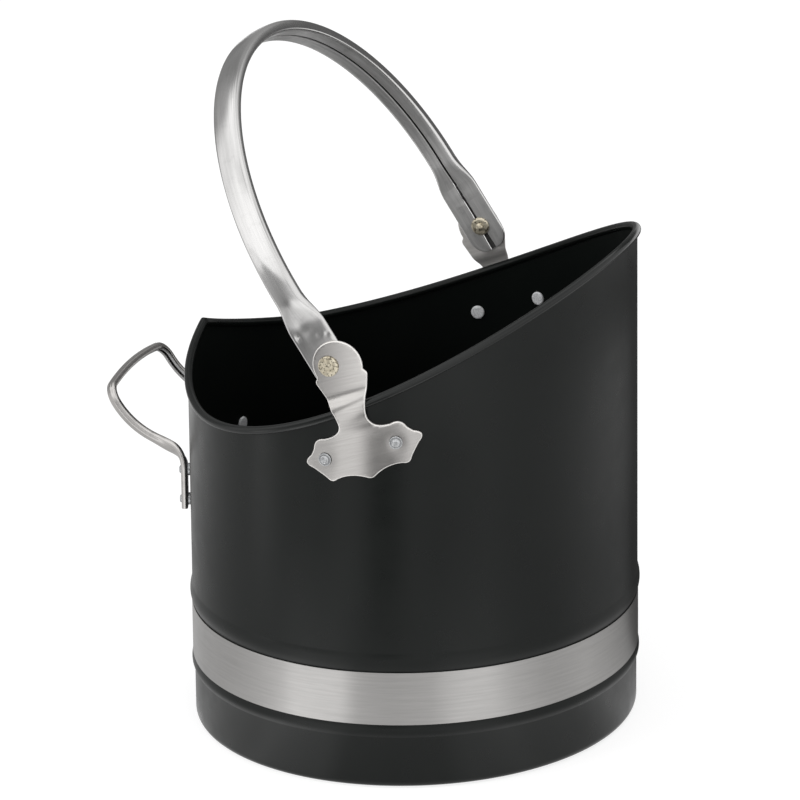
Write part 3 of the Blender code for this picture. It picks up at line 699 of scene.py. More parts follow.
def make_band():
    """The trim strip with slightly rounded edges. Its ends butt at the rear."""
    low = GAP - BAND_SEAT
    high = low + BAND_SHEET
    top = BAND_BOTTOM + BAND_WIDTH
    round_off = BAND_SHEET / 4
    section = [(low, BAND_BOTTOM), (high - round_off, BAND_BOTTOM), (high, BAND_BOTTOM + round_off)]
    section += [(high, height) for height in spread(BAND_BOTTOM + CELL, top - CELL, BAND_ROWS)]
    section += [(high, top - round_off), (high - round_off, top), (low, top)]
    end = math.pi - BAND_BUTT_GAP / 2 / HALF_WIDTH
    rings = []
    for angle in spread(-end, end, FACETS):
        rings.append([wall_point(angle, offset, height) for offset, height in section])
    run = distances([ring[0] for ring in rings], False)
    mesh = skin("trim_band", rings, run, False)
    piece("trim_band", mesh, [BAND], "bucket", ["steel_band"])


def along_edge(points, start, way, run):
    """The place that far along a closed outline from one of its points, and the next index."""
    left = run
    here = start
    while True:
        following = (here + way) % len(points)
        step = points[following] - points[here]
        if step.length > left:
            return points[here] + step * (left / step.length), following
        left -= step.length
        here = following


def round_tips(points, tips, curves):
    """Replace the outline near each tip by a smooth curve."""
    rounded = []
    for k, tip in enumerate(tips):
        run, push = curves[k]
        after = (k + 1) % len(tips)
        before_place, _ = along_edge(points, tip, -1, run)
        after_place, first = along_edge(points, tip, 1, run)
        way = (points[tip] * 2 - before_place - after_place).normalized()
        control = points[tip] + way * push
        for share in spread(0, 1, TIP_STEPS):
            inward = before_place.lerp(control, share)
            rounded.append(inward.lerp(control.lerp(after_place, share), share))
        _, last = along_edge(points, tips[after], -1, curves[after][0])
        here = first
        while here != (last + 1) % len(points):
            rounded.append(points[here])
            here = (here + 1) % len(points)
    return rounded


def inset(points, run):
    """A closed anticlockwise outline moved inward."""
    moved = []
    for before, point, after in zip(points[-1:] + points[:-1], points, points[1:] + points[:1]):
        along = (after - before).normalized()
        moved.append(point + Vector((-along.y, along.x)) * run)
    return moved


def rivet_dimple(across, up, side):
    """How far the hammered rivets drew the plate's face in at a flat place."""
    depth = 0.0
    for half in (0.5, -0.5):
        away = across - EAR_RIVET_SHIFT * side - EAR_RIVET_PITCH * half
        depth += RIVET_DIMPLE * math.exp(-(away ** 2 + up ** 2) / DIMPLE_REACH ** 2)
    return depth


def make_ear(side):
    """A plate with rounded edges, cut into small cells, with a flat 'flow' map, and then bent."""
    half, tips = ear_outline()
    outline = half + [Vector((-point.x, point.y)) for point in reversed(half[1:-1])]
    mirrored = [len(outline) - k for k in reversed(tips) if k]
    outline = round_tips(outline, tips + mirrored, TIP_CURVES + TIP_CURVES[:0:-1])
    if side == LEFT:
        for point in outline:
            point.x *= mix(1, FAR_EAR_SHARE, eased(point.y / LOBE_RISE * 2))
    rim = []
    for turn in spread(0, math.pi / 2, ROUND_STEPS):
        rim.append((BACK_ROUND * (1 - math.sin(turn)), BACK_ROUND * (1 - math.cos(turn))))
    for turn in spread(math.pi / 2, 0, ROUND_STEPS):
        height = EAR_SHEET - FRONT_ROUND * (1 - math.cos(turn))
        rim.append((FRONT_ROUND * (1 - math.sin(turn)), height))
    built = bmesh.new()
    rows = []
    for run, height in rim:
        points = inset(outline, run)
        rows.append([built.verts.new((point.x, point.y, height)) for point in points])
    for face in joined(built, rows):
        face.material_index = EDGE
    built.faces.new(rows[0]).material_index = BACK
    built.faces.new(rows[-1]).material_index = FRONT
    reaches = ((-EAR_HALF_WIDTH, EAR_HALF_WIDTH), (-EAR_SKIRT, LOBE_RISE + LOBE_RADIUS))
    for axis, (start, end) in enumerate(reaches):
        normal = Vector((0, 0, 0))
        normal[axis] = 1
        for place in spread(start, end, round((end - start) / CELL))[1:-1]:
            cut = built.verts[:] + built.edges[:] + built.faces[:]
            bmesh.ops.bisect_plane(built, geom=cut, plane_co=normal * place, plane_no=normal)
    layer = built.loops.layers.uv.new("flow")
    for face in built.faces:
        for loop in face.loops:
            loop[layer].uv = (loop.vert.co.x, loop.vert.co.y)
    for vert in built.verts:
        if vert.co.z > EAR_SHEET / 2:
            vert.co.z -= rivet_dimple(vert.co.x, vert.co.y, side)
        vert.co = ear_point(vert.co.x, vert.co.y, vert.co.z, side)
    bmesh.ops.triangulate(built, faces=[face for face in built.faces if len(face.verts) > 4])
    name = f"{SIDE_NAMES[side]}_ear"
    mesh = as_mesh(built, f"{name}_plate")
    piece(f"{name}_plate", mesh, [EAR, EAR_BACK, EAR_EDGE_HIGHLIGHT], "bucket", [name])


def turned(name, profile, sides, place, dent, inner=-math.inf):
    """A turned piece whose faces are dimpled a little, set at a placement.

    Faces that lie no higher than inner get the second material.
    """
    built = bmesh.new()
    rows = []
    for radius, height in profile:
        points = arc((0, 0), radius, round_turns(sides)) if radius else [(0, 0)]
        rows.append([built.verts.new((*point, height)) for point in points])
    solid = rows if len(rows[0]) == 1 else rows + rows[:1]
    for row, after in zip(solid, solid[1:]):
        for k in range(sides):
            following = (k + 1) % sides
            corners = [row[k % len(row)], row[following % len(row)]]
            corners += [after[following % len(after)], after[k % len(after)]]
            face = built.faces.new(list(dict.fromkeys(corners)))
            face.material_index = int(max(vert.co.z for vert in face.verts) < inner + TOUCH)
    seed = Vector((len(name), place.translation.x * 1000, place.translation.z * 1000))
    for vert in built.verts:
        vert.co.z += dent * noise.noise(vert.co * DENT_SCALE + seed)
    bmesh.ops.transform(built, matrix=place, verts=built.verts)
    return as_mesh(built, name)


def domed(radius, base, height, shape):
    """Points of a rounded head from its rim to the axis: an upright edge, then a low dome."""
    edge_share, flat_share = shape
    points = [(radius, base), (radius, base + height * edge_share)]
    for turn in spread(0, math.pi / 2, DOME_STEPS)[1:-1]:
        across = radius * mix(flat_share, 1, math.cos(turn))
        points.append((across, base + height * mix(edge_share, 1, math.sin(turn))))
    flat = points[-1][0]
    return points + [(flat * share, base + height) for share in FLAT_RINGS]


def hung(head, base):
    """A head's points from its axis to its rim, pointing inward from a base height."""
    return [(radius, base - rise) for radius, rise in reversed(head)]


def rivet_stem(inside, outside):
    """A rivet's inner head and shank, up to the face that its outer head sits on."""
    head = domed(INNER_HEAD_RADIUS, 0, INNER_HEAD_HEIGHT, INNER_HEAD_SHAPE)
    return hung(head, inside) + [(RIVET_SHANK, inside), (RIVET_SHANK, outside)]


def collared_head(base):
    """An ear rivet's outer head, in the collar that the setting tool left."""
    points = []
    for turn in spread(0, math.pi, DOME_STEPS)[:-1]:
        across = EAR_COLLAR - COLLAR_WIDTH / 2 * (1 - math.cos(turn))
        points.append((across, base + COLLAR_HEIGHT * math.sin(turn)))
    ledge = base + COLLAR_LEDGE
    points.append((EAR_COLLAR - COLLAR_WIDTH, ledge))
    return points + domed(EAR_HEAD_RADIUS, ledge, EAR_HEAD_HEIGHT, EAR_HEAD_SHAPE)


def make_fastener(cad_node, label, profile, sides, place, dent, materials, inner=-math.inf):
    name = f"{cad_node}_{label}"
    mesh = turned(name, profile, sides, place, dent, inner)
    sharp = SHARP_ANGLE if label == "ring" else HEAD_SHARP_ANGLE
    piece(name, mesh, materials, "bucket", [cad_node], sharp)


def make_rivet(cad_node, profile, place, inside):
    materials = [RIVET, RIVET_BACK_PAINTED_LIGHT]
    make_fastener(
        cad_node, "head", profile, RIVET_SIDES, place, INNER_DENT, materials, inside
    )


def make_ear_rivets(side):
    inside = -SHEET - GAP
    outside = GAP + EAR_SHEET + GAP
    profile = rivet_stem(inside, outside) + collared_head(outside)
    for place, end in zip(ear_rivet_places(side), ("front", "rear")):
        make_rivet(f"{SIDE_NAMES[side]}_ear_rivet_{end}", profile, place, inside)


def make_pivot(side):
    """The brass rivet with its hammered flat head, and the conical burr it is peened over."""
    face = EAR_SHEET + GAP
    burr_face = -GAP - BAIL_FLAT_DEPTH - GAP
    burr_back = burr_face - BURR_HEIGHT
    tail = burr_back - GAP
    rivet = hung(domed(TAIL_RADIUS, 0, TAIL_HEIGHT, TAIL_SHAPE), tail)
    rivet += [(PIVOT_SHANK, tail), (PIVOT_SHANK, face)]
    rivet += domed(PIVOT_HEAD_RADIUS, face, PIVOT_HEAD_HEIGHT, PIVOT_HEAD_SHAPE)
    bore = PIVOT_SHANK + GAP
    burr = [(bore, burr_back)]
    for turn in spread(0, math.pi / 2, DOME_STEPS):
        across = BURR_RADIUS * mix(BURR_FLAT_SHARE, 1, math.sin(turn))
        burr.append((across, burr_back + BURR_HEIGHT * BURR_CONE_SHARE * (1 - math.cos(turn))))
    burr += [(BURR_RADIUS, burr_face), (bore, burr_face)]
    place = pivot_frame(side)
    for label, profile, dent in (("rivet", rivet, HEAD_DENT), ("burr", burr, INNER_DENT / 2)):
        cad_node = f"{SIDE_NAMES[side]}_pivot_{label}"
        make_fastener(cad_node, "brass", profile, PIVOT_SIDES, place, dent, [BRASS])


def make_foot_fasteners():
    inside = -SHEET - GAP
    outside = FOOT_STAND_OFF + FOOT_DEPTH + GAP
    head = domed(FOOT_HEAD_RADIUS, outside, FOOT_HEAD_HEIGHT, FOOT_HEAD_SHAPE)
    rivet = rivet_stem(inside, outside) + head
    bore = RIVET_SHANK + GAP
    top = FOOT_STAND_OFF - GAP
    ring = [(bore, GAP), (SPACER_RADIUS, GAP), (SPACER_RADIUS, top), (bore, top)]
    names = [f"{side}_{level}" for side in ("left", "right") for level in ("upper", "lower")]
    for place, name in zip(foot_rivet_places(), names):
        make_rivet(f"handle_rivet_{name}", rivet, place, inside)
        cad_node = f"handle_spacer_{name}"
        make_fastener(cad_node, "ring", ring, RIVET_SIDES, place, 0, [RIVET])


def tube_section(width, depth, slot, sheet, crown, edge):
    """Section of a strip curled into a flat tube with a slot, as (across, inward, kind) points.

    The kind is the material of the step that starts there.
    """
    half = width / 2
    round_edge = min(edge, depth * TUBE_EDGE_SHARE)
    chamfer = sheet / 3
    side = [(slot / 2, depth - chamfer, BRIGHT), (slot / 2 + chamfer, depth, FLAP)]
    for turn in spread(0, math.pi / 2, TUBE_EDGE_STEPS):
        across = half - round_edge + round_edge * math.sin(turn)
        inward = depth - round_edge + round_edge * math.cos(turn)
        side.append((across, inward, FLAP if turn < FLANGE_TURN else BRIGHT))
    for turn in spread(0, math.pi / 2, TUBE_EDGE_STEPS):
        across = half - round_edge + round_edge * math.cos(turn)
        side.append((across, round_edge - round_edge * math.sin(turn), BRIGHT))
    flat = half - round_edge
    web = []
    for across in spread(flat, -flat, WEB_STEPS)[1:-1]:
        web.append((across, -crown * (1 - (across / flat) ** 2), BRIGHT))
    inner_round = max(round_edge - sheet, sheet / 4)
    inner = []
    for turn in spread(math.pi / 2, 0, TUBE_EDGE_STEPS // 2):
        across = half - sheet - inner_round + inner_round * math.cos(turn)
        inner.append((across, sheet + inner_round - inner_round * math.sin(turn), HIDDEN))
    for turn in spread(math.pi / 2, 0, TUBE_EDGE_STEPS // 2):
        across = half - sheet - inner_round + inner_round * math.sin(turn)
        inward = depth - sheet - inner_round + inner_round * math.cos(turn)
        inner.append((across, inward, HIDDEN))
    inner.append((slot / 2, depth - sheet, BRIGHT))
    kinds = [kind for _, _, kind in side[-2::-1]] + [BRIGHT]
    flip = [(-across, inward, kind) for (across, inward, _), kind in zip(reversed(side), kinds)]
    inner_flip = [(-across, inward, HIDDEN) for across, inward, _ in reversed(inner)]
    return side + web + flip + inner_flip + inner


def limb_station(reach, end_share):
    open_share = eased((reach - BAIL_FLAT_REACH) / (BAIL_STRAIGHT - BAIL_FLAT_REACH))
    out = mix(bail_flat_face(), bail_half_span(), open_share)
    width = mix(BAIL_FLAT_WIDTH, BAIL_WIDTH, open_share) * end_share
    depth = mix(BAIL_FLAT_DEPTH, BAIL_DEPTH, open_share)
    slot = mix(BAIL_END_SLOT, BAIL_SLOT, eased((reach + BAIL_END_REACH) / BAIL_FLAT_REACH))
    crown = BAIL_CROWN * open_share
    section = tube_section(width, depth, slot, BAIL_SHEET, crown, BAIL_EDGE_RADIUS)
    return Vector((0, out, reach)), Vector((0, 1, 0)), section


def press_depth(across, reach):
    """How deep the flattening press marked the web at a place."""
    depth = 0.0
    for mark_across, mark_reach, wide, long, deep in PRESS_MARKS:
        away = ((across - mark_across) / wide) ** 2 + ((reach - mark_reach) / long) ** 2
        depth += deep * math.exp(-away)
    return depth


def bail_stations():
    """The bail upright, from its left end over the arch to its right: (point, outward, section)."""
    limb = []
    for turn in spread(math.pi / 2, 0, END_STEPS)[:-1]:
        share = math.cos(turn)
        reach = -BAIL_END_REACH + BAIL_END_ROUND * (1 - math.sqrt(1 - share ** 2))
        limb.append(limb_station(reach, mix(BAIL_TIP_SHARE, 1, share)))
    start = -BAIL_END_REACH + BAIL_END_ROUND
    steps = round((BAIL_STRAIGHT - start) / LIMB_STEP)
    for reach in spread(start, BAIL_STRAIGHT, steps)[:-1]:
        limb.append(limb_station(reach, 1))
    rise = BAIL_REACH - BAIL_STRAIGHT
    span = bail_half_span()
    sizes = (BAIL_WIDTH, BAIL_DEPTH, BAIL_SLOT, BAIL_SHEET, BAIL_CROWN, BAIL_EDGE_RADIUS)
    section = tube_section(*sizes)
    arch = []
    for turn in spread(0, math.pi, BAIL_ARCH_STEPS):
        point = Vector((0, span * math.cos(turn), BAIL_STRAIGHT + rise * math.sin(turn)))
        way = Vector((0, math.cos(turn) / span, math.sin(turn) / rise)).normalized()
        arch.append((point, way, section))
    flip = Vector((1, -1, 1))
    other = [(point * flip, way * flip, shape) for point, way, shape in reversed(limb)]
    return limb + arch + other


def make_bail():
    """The slot's cut edges are bright at the bail's ends, and as dull as the flaps on its arch."""
    stations = bail_stations()
    middle = pivot_point(LEFT)
    turn = Matrix.Rotation(-BAIL_LEAN, 4, "Y")
    place = Matrix.Translation((middle.x, 0, middle.z)) @ turn
    rings = []
    for point, way, section in stations:
        ring = []
        for across, inward, _ in section:
            sunk = inward
            if point.z < BAIL_STRAIGHT and inward < BAIL_DEPTH / 3:
                sunk += press_depth(across, point.z)
            ring.append(place @ (point + Vector((across, 0, 0)) - way * sunk))
        rings.append(ring)
    run = distances([point for point, _, _ in stations], False)
    kinds = [kind for _, _, kind in stations[0][2]]
    mesh = skin("bail_tube", rings, run, False, kinds)
    hidden = kinds.index(HIDDEN)
    cuts = (kinds.index(FLAP) - 1, len(kinds) - 1, hidden - 1, hidden - 2)
    for ring in range(BRIGHT_SLOT_RINGS, len(rings) - 1 - BRIGHT_SLOT_RINGS):
        for cut in cuts:
            mesh.polygons[ring * len(kinds) + cut].material_index = FLAP
    piece("bail_tube", mesh, [BAIL, FLANGE, HOLLOW_SHADE], "bail", ["bail_handle"])


def make_rear_handle():
    left = handle_stations(LEFT)
    right = [(point, -along, way, share) for point, along, way, share in handle_stations(RIGHT)]
    stations = left + right[-2::-1]
    rings = []
    for point, along, way, share in stations:
        width = mix(FOOT_WIDTH, ARM_WIDTH, eased(share))
        depth = mix(FOOT_DEPTH, ARM_DEPTH, eased(share))
        sizes = (width, depth, HANDLE_SLOT, HANDLE_SHEET, ARM_CROWN * share, HANDLE_EDGE_RADIUS)
        side_way = way.cross(along)
        ring = []
        for across, inward, _ in tube_section(*sizes):
            ring.append(point + side_way * across + way * (depth / 2 - inward))
        rings.append(ring)
    run = distances([point for point, _, _, _ in stations], False)
    kinds = [kind for _, _, kind in tube_section(*sizes)]
    mesh = skin("tilt_handle", rings, run, False, kinds)
    materials = [HANDLE, HANDLE_FLANGE, HOLLOW_SHADE]
    piece("tilt_handle", mesh, materials, "bucket", ["rear_handle"])


def node(tree, kind, inputs=None, **settings):
    """Add a shader node. An input is a value or the socket that feeds it."""
    made = tree.nodes.new(kind)
    for key, value in settings.items():
        setattr(made, key, value)
    for key, value in (inputs or {}).items():
        if isinstance(value, bpy.types.NodeSocket):
            tree.links.new(value, made.inputs[key])
        else:
            made.inputs[key].default_value = value
    return made


def maths(tree, operation, first, second):
    return node(tree, "ShaderNodeMath", {0: first, 1: second}, operation=operation).outputs[0]


def noise_at(tree, vector, scale, detail=2.0, roughness=0.5):
    inputs = {"Vector": vector, "Scale": scale, "Detail": detail, "Roughness": roughness}
    return node(tree, "ShaderNodeTexNoise", inputs).outputs["Fac"]


def ranged(tree, value, low, high, start=0.3, end=0.7):
    """Spread a value's range start..end over low..high."""
    inputs = {"Value": value, "From Min": start, "From Max": end, "To Min": low, "To Max": high}
    return node(tree, "ShaderNodeMapRange", inputs).outputs["Result"]


def stretched(tree, vector, scales):
    return node(tree, "ShaderNodeMapping", {"Vector": vector, "Scale": scales}).outputs["Vector"]


def part_of(tree, vector, axis):
    return node(tree, "ShaderNodeSeparateXYZ", {"Vector": vector}).outputs[axis]


def blended(tree, factor, low, high):
    """A colour between two, by a factor."""
    return node(tree, "ShaderNodeMix", {0: factor, 6: low, 7: high}, data_type="RGBA").outputs[2]


def faded(tree, value, ends, low, high):
    """A number that goes from low to high while a value goes from one end to the other."""
    factor = ranged(tree, value, 0, 1, *ends)
    return node(tree, "ShaderNodeMix", {0: factor, 2: low, 3: high}).outputs[0]


def bumped(tree, height, strength, distance):
    inputs = {"Height": height, "Strength": strength, "Distance": distance}
    return node(tree, "ShaderNodeBump", inputs)


def blank(name, settings):
    """A material with its shader's constant sockets set. Returns it, its tree and its inputs."""
    made = bpy.data.materials.new(name)
    made.use_nodes = True
    shader = made.node_tree.nodes["Principled BSDF"]
    for key, value in settings.items():
        shader.inputs[key].default_value = value
    return made, made.node_tree, shader.inputs


def grey(value, warm=0.0):
    return (value * (1 + warm), value, value * (1 - warm), 1.0)


# The powder coat's black, the bare metal of its scuffs and the heights where the foot is scuffed.
COAT_TONES = ((0.0040, 0.0050, 0.0046, 1), (0.0056, 0.0068, 0.0062, 1))
SCUFF_TONE = (0.09, 0.09, 0.085, 1)
SCUFF_HEIGHTS = (0.0002, 0.0016)

# The noise of each layer: features in a metre, detail and roughness. Cast metal has its own scale.
COAT_PATCHES = (9.0, 3.0)
COAT_SCUFFS = (190.0, 4.0, 0.7)
COAT_SHEEN = (55.0, 4.0)
COAT_WAVES = (22.0, 1.0)
COAT_PEBBLES = (1500.0, 2.0)
FINE_GRAIN = (1.0, 3.0, 0.6)
BROAD_GRAIN = (1.0, 2.0, 0.5)
STEEL_STAINS = (120.0, 5.0, 0.65)
STEEL_PATCHES = (38.0, 4.0, 0.6)
CAST_MOTTLE = (4.0, 0.6)
CAST_PITS = (3.0, 0.6)
PIT_SCALE = 1.7

# The values of a layer's noise between which it comes in.
SCUFF_RANGE = (0.52, 0.68)
GRAIN_RANGE = (0.75, 1.25)
STAIN_RANGE = (0.55, 0.72)
PIT_RANGE = (0.54, 0.60)

# The strength and height of each bump.
WAVE_BUMP = (0.12, 0.002)
PEBBLE_BUMP = (0.10, 0.00012)
GRAIN_BUMP = (0.16, 0.00002)
CAST_BUMP = (0.35, 0.0002)

# How far cast metal's roughness spreads, in shares of its middle.
CAST_ROUGH_LOW = 0.8
CAST_ROUGH_HIGH = 1.25

# How much longer than wide the grain of brushed steel is, and how it lies.
FINE_STRETCH = 60
BROAD_STRETCH = 250
BROAD_WIDTH = 9
GRAIN_TURN = 0.25


def make_coat(name, gloss, rough, worn=0):
    """Black powder coat: finely pebbled, with faint waves. A worn one has a rubbed foot."""
    made, tree, shader = blank(name, {"Metallic": 0.0, "Specular IOR Level": gloss})
    place = node(tree, "ShaderNodeTexCoord").outputs["Object"]
    colour = blended(tree, ranged(tree, noise_at(tree, place, *COAT_PATCHES), 0, 1), *COAT_TONES)
    low = ranged(tree, part_of(tree, place, "Z"), 1, 0, *SCUFF_HEIGHTS)
    scuffs = ranged(tree, noise_at(tree, place, *COAT_SCUFFS), 0, worn, *SCUFF_RANGE)
    colour = blended(tree, maths(tree, "MULTIPLY", low, scuffs), colour, SCUFF_TONE)
    tree.links.new(colour, shader["Base Color"])
    tree.links.new(ranged(tree, noise_at(tree, place, *COAT_SHEEN), *rough), shader["Roughness"])
    waves = bumped(tree, noise_at(tree, place, *COAT_WAVES), *WAVE_BUMP)
    pebbles = bumped(tree, noise_at(tree, place, *COAT_PEBBLES), *PEBBLE_BUMP)
    tree.links.new(waves.outputs["Normal"], pebbles.inputs["Normal"])
    tree.links.new(pebbles.outputs["Normal"], shader["Normal"])
    return made


def make_brushed(name, tones, rough, anisotropy, lines, warm=0.0, stains=0.0, metallic=1.0):
    """Bright steel with grain along the flow map's first axis.

    lines is how many grain lines lie in a metre. Stains mottle it with duller patches.
    """
    settings = {"Metallic": metallic, "Anisotropic": anisotropy, "Anisotropic Rotation": GRAIN_TURN}
    made, tree, shader = blank(name, settings)
    flow = node(tree, "ShaderNodeUVMap", uv_map="flow").outputs["UV"]
    place = node(tree, "ShaderNodeTexCoord").outputs["Object"]
    fine_scales = (lines / FINE_STRETCH, lines, 1)
    broad_scales = (lines / BROAD_STRETCH, lines / BROAD_WIDTH, 1)
    fine = noise_at(tree, stretched(tree, flow, fine_scales), *FINE_GRAIN)
    broad = noise_at(tree, stretched(tree, flow, broad_scales), *BROAD_GRAIN)
    grain = ranged(tree, maths(tree, "ADD", fine, broad), 0, 1, *GRAIN_RANGE)
    colour = blended(tree, grain, grey(tones[0], warm), grey(tones[1], warm))
    if stains:
        spots = ranged(tree, noise_at(tree, place, *STEEL_STAINS), 0, stains, *STAIN_RANGE)
        colour = blended(tree, spots, colour, grey(tones[0] / 2, warm))
    tree.links.new(colour, shader["Base Color"])
    patches = noise_at(tree, place, *STEEL_PATCHES)
    tree.links.new(ranged(tree, patches, *rough), shader["Roughness"])
    tangent = node(tree, "ShaderNodeTangent", direction_type="UV_MAP", uv_map="flow")
    tree.links.new(tangent.outputs["Tangent"], shader["Tangent"])
    tree.links.new(bumped(tree, fine, *GRAIN_BUMP).outputs["Normal"], shader["Normal"])
    return made


def make_cast(name, tones, rough, metallic, scale, dirt):
    """Hammered or pressed metal: mottled, with darker pits."""
    made, tree, shader = blank(name, {"Metallic": metallic})
    place = node(tree, "ShaderNodeTexCoord").outputs["Object"]
    mottle = noise_at(tree, place, scale, *CAST_MOTTLE)
    pits = ranged(tree, noise_at(tree, place, scale * PIT_SCALE, *CAST_PITS), 0, dirt, *PIT_RANGE)
    low, high = [(*tone, 1) for tone in tones]
    pit_tone = (low[0] / 4, low[1] / 4, low[2] / 4, 1)
    colour = blended(tree, pits, blended(tree, ranged(tree, mottle, 0, 1), low, high), pit_tone)
    tree.links.new(colour, shader["Base Color"])
    dull = ranged(tree, mottle, rough * CAST_ROUGH_LOW, rough * CAST_ROUGH_HIGH)
    tree.links.new(dull, shader["Roughness"])
    tree.links.new(bumped(tree, mottle, *CAST_BUMP).outputs["Normal"], shader["Normal"])
    return made


COAT = make_coat("satin_black_coat", 0.24, (0.26, 0.34), worn=1)
INSIDE = make_coat("dull_inside_coat", 0.02, (0.50, 0.60))
RIM = make_coat("rubbed_rim_coat", 0.36, (0.15, 0.20))
BAND = make_brushed("brushed_band_steel", (0.39, 0.45), (0.30, 0.38), 0.8, 5200.0, 0.02)
EAR = make_brushed("brushed_ear_steel", (0.52, 0.58), (0.21, 0.28), 0.7, 7200.0, 0.03)
EAR_BACK = make_brushed(
    "ear_back_steel", (0.44, 0.54), (0.36, 0.48), 0.5, 3600.0, 0.03, stains=0.2, metallic=0.4
)
# The ears' rounded edges get a paler colour than their faces: a painted highlight that outlines the
# plate.
EAR_EDGE_HIGHLIGHT = make_brushed(
    "ear_edge_painted_highlight", (0.72, 0.82), (0.28, 0.38), 0.2, 3600.0, 0.03, metallic=0.6
)
BAIL = make_brushed(
    "polished_bail_steel", (0.58, 0.66), (0.15, 0.21), 0.2, 3600.0, 0.01, stains=0.15
)
FLANGE = make_brushed(
    "strip_flange_steel", (0.34, 0.50), (0.28, 0.42), 0.3, 3000.0, 0.01, stains=0.35, metallic=0.55
)
HANDLE = make_brushed(
    "polished_handle_steel", (0.52, 0.62), (0.22, 0.32), 0.2, 1200.0, 0.03, stains=0.3
)
HANDLE_FLANGE = make_brushed(
    "handle_flange_steel", (0.34, 0.44), (0.30, 0.42), 0.3, 3000.0, stains=0.3, metallic=0.6
)
# Inside of the slotted tubes, where little light gets in: a near-black colour as painted shade,
# with faint stains.
HOLLOW_SHADE = make_brushed(
    "tube_inside_painted_shade", (0.020, 0.040), (0.60, 0.75), 0.0, 2400.0, 0.03, stains=0.3, metallic=0.2
)
RIVET = make_cast(
    "rivet_steel_heads", ((0.42, 0.43, 0.44), (0.62, 0.63, 0.64)), 0.34, 0.85, 900.0, 0.5
)
# Inner heads of the rivets: a matte finish, and a colour painted paler than the outer heads of the
# same rivets, as painted light.
RIVET_BACK_PAINTED_LIGHT = make_cast(
    "rivet_inner_heads_painted_light", ((0.58, 0.59, 0.60), (0.84, 0.85, 0.86)), 0.5, 0.2, 900.0, 0.4
)
BRASS = make_cast(
    "hammered_pale_brass", ((0.52, 0.46, 0.34), (0.76, 0.70, 0.56)), 0.34, 0.8, 300.0, 0.9
)
WIRE = make_cast("drawn_wire", ((0.20, 0.20, 0.20), (0.34, 0.34, 0.33)), 0.5, 1.0, 300.0, 0.4)

make_body()
make_wire()
make_pan()
make_band()
for ear_side in (LEFT, RIGHT):
    make_ear(ear_side)
    make_ear_rivets(ear_side)
    make_pivot(ear_side)
make_bail()
make_rear_handle()
make_foot_fasteners()


# The camera, as it was fitted to the photograph. It looks at a point over the origin.
AZIMUTH = math.radians(18.854)
ELEVATION = math.radians(18.822)
ROLL = math.radians(-0.627)
DISTANCE = 5.1054
AIM_HEIGHT = 0.2304
LENS = 321.03
SHIFT = -0.0167
CLIP_END = 100

# Floor, just under the foot. The camera and reflections see a greyer one that also glows.
FLOOR_SIZE = 9.0
FLOOR_DROP = 0.0004
FLOOR_TONE = 0.8
SEEN_FLOOR_TONE = 0.35
FLOOR_GLOW = 0.78

# Lamps, which reflections don't show: place, size and power.
LAMP_AIM = Vector((0, 0, 0.25))
LAMPS = (
    ("soft_left", (-2.2, -1.9, 1.9), (2.4, 2.4), 45),
    ("soft_top", (0.4, 0.2, 2.6), (2.4, 2.4), 20),
    ("soft_front", (1.5, -3.5, 0.9), (2.4, 1.6), 55),
)

# Light tent, which only reflections show. Its taller sectors: first degree, last and height.
TENT_RADIUS = 0.33
TENT_HEM = 0.004
TENT_LOW = 0.335
TENT_SECTORS = ((42, 116, 1.0), (138, 190, 0.53), (240, 264, 0.37))
TENT_SIDES = 96

# The heights where one zone of the tent passes into the next, from its foot up.
FOOT_END = (0.09, 0.15)
SIDE_END = (0.222, 0.242)
TOP_END = (0.286, 0.318)
CREST_END = (0.375, 0.405)
DARK_END = (0.55, 0.60)

# From here forward the dark zone takes the place of the crest.
DARK_START = (-0.20, -0.16)

# Room: the even level that lights the object, and how steeply up its reflected zones end.
ROOM_LIGHT = 0.5
ROOM_END = (0.58, 0.72)
HIGH_END = (0.81, 0.90)

# A ramp's colours reach only 1, so the levels are held in it as shares of this.
RAMP_TOP = 2.0

# How bright the foot of the tent is round the object, in degrees from +X towards +Y.
FOOT_LEVELS = (
    (-180, 0.62), (-152, 0.66), (-136, 0.80), (-124, 1.00), (-117, 1.45), (-97, 1.35),
    (-91, 0.80), (-77, 0.76), (-63, 0.80), (-56, 1.10), (-41, 1.20), (-33, 0.90), (-14, 0.64),
    (4, 0.74), (22, 0.56), (37, 0.38), (47, 0.08), (85, 0.08), (110, 0.55), (145, 0.62),
    (180, 0.62),
)

# The same for its sides, which the ears and the wall face.
SIDE_LEVELS = (
    (-180, 0.85), (-152, 0.68), (-139, 0.75), (-135, 1.50), (-130, 1.35), (-123, 0.66),
    (-110, 0.74), (-104, 0.58), (-101, 0.70), (-97, 0.95), (-89, 0.95), (-84, 0.18), (-76, 0.18),
    (-70, 0.90), (-60, 0.70), (-41, 0.95), (-28, 0.80), (-10, 0.80), (10, 0.90), (25, 0.75),
    (40, 0.40), (52, 0.08), (85, 0.08), (110, 0.80), (150, 1.00), (180, 0.85),
)

# The same for its top, which the ears' lobes and the foot of the bail face.
TOP_LEVELS = (
    (-180, 0.30), (-165, 0.40), (-150, 0.90), (-129, 0.70), (-118, 0.50), (-112, 0.38),
    (-104, 0.20), (-101, 0.30), (-97, 1.25), (-90, 1.30), (-75, 1.00), (-50, 1.20), (-35, 0.95),
    (-20, 0.75), (0, 0.60), (18, 0.45), (35, 0.20), (57, 0.06), (90, 0.08), (116, 0.12),
    (140, 0.20), (152, 0.28), (180, 0.30),
)

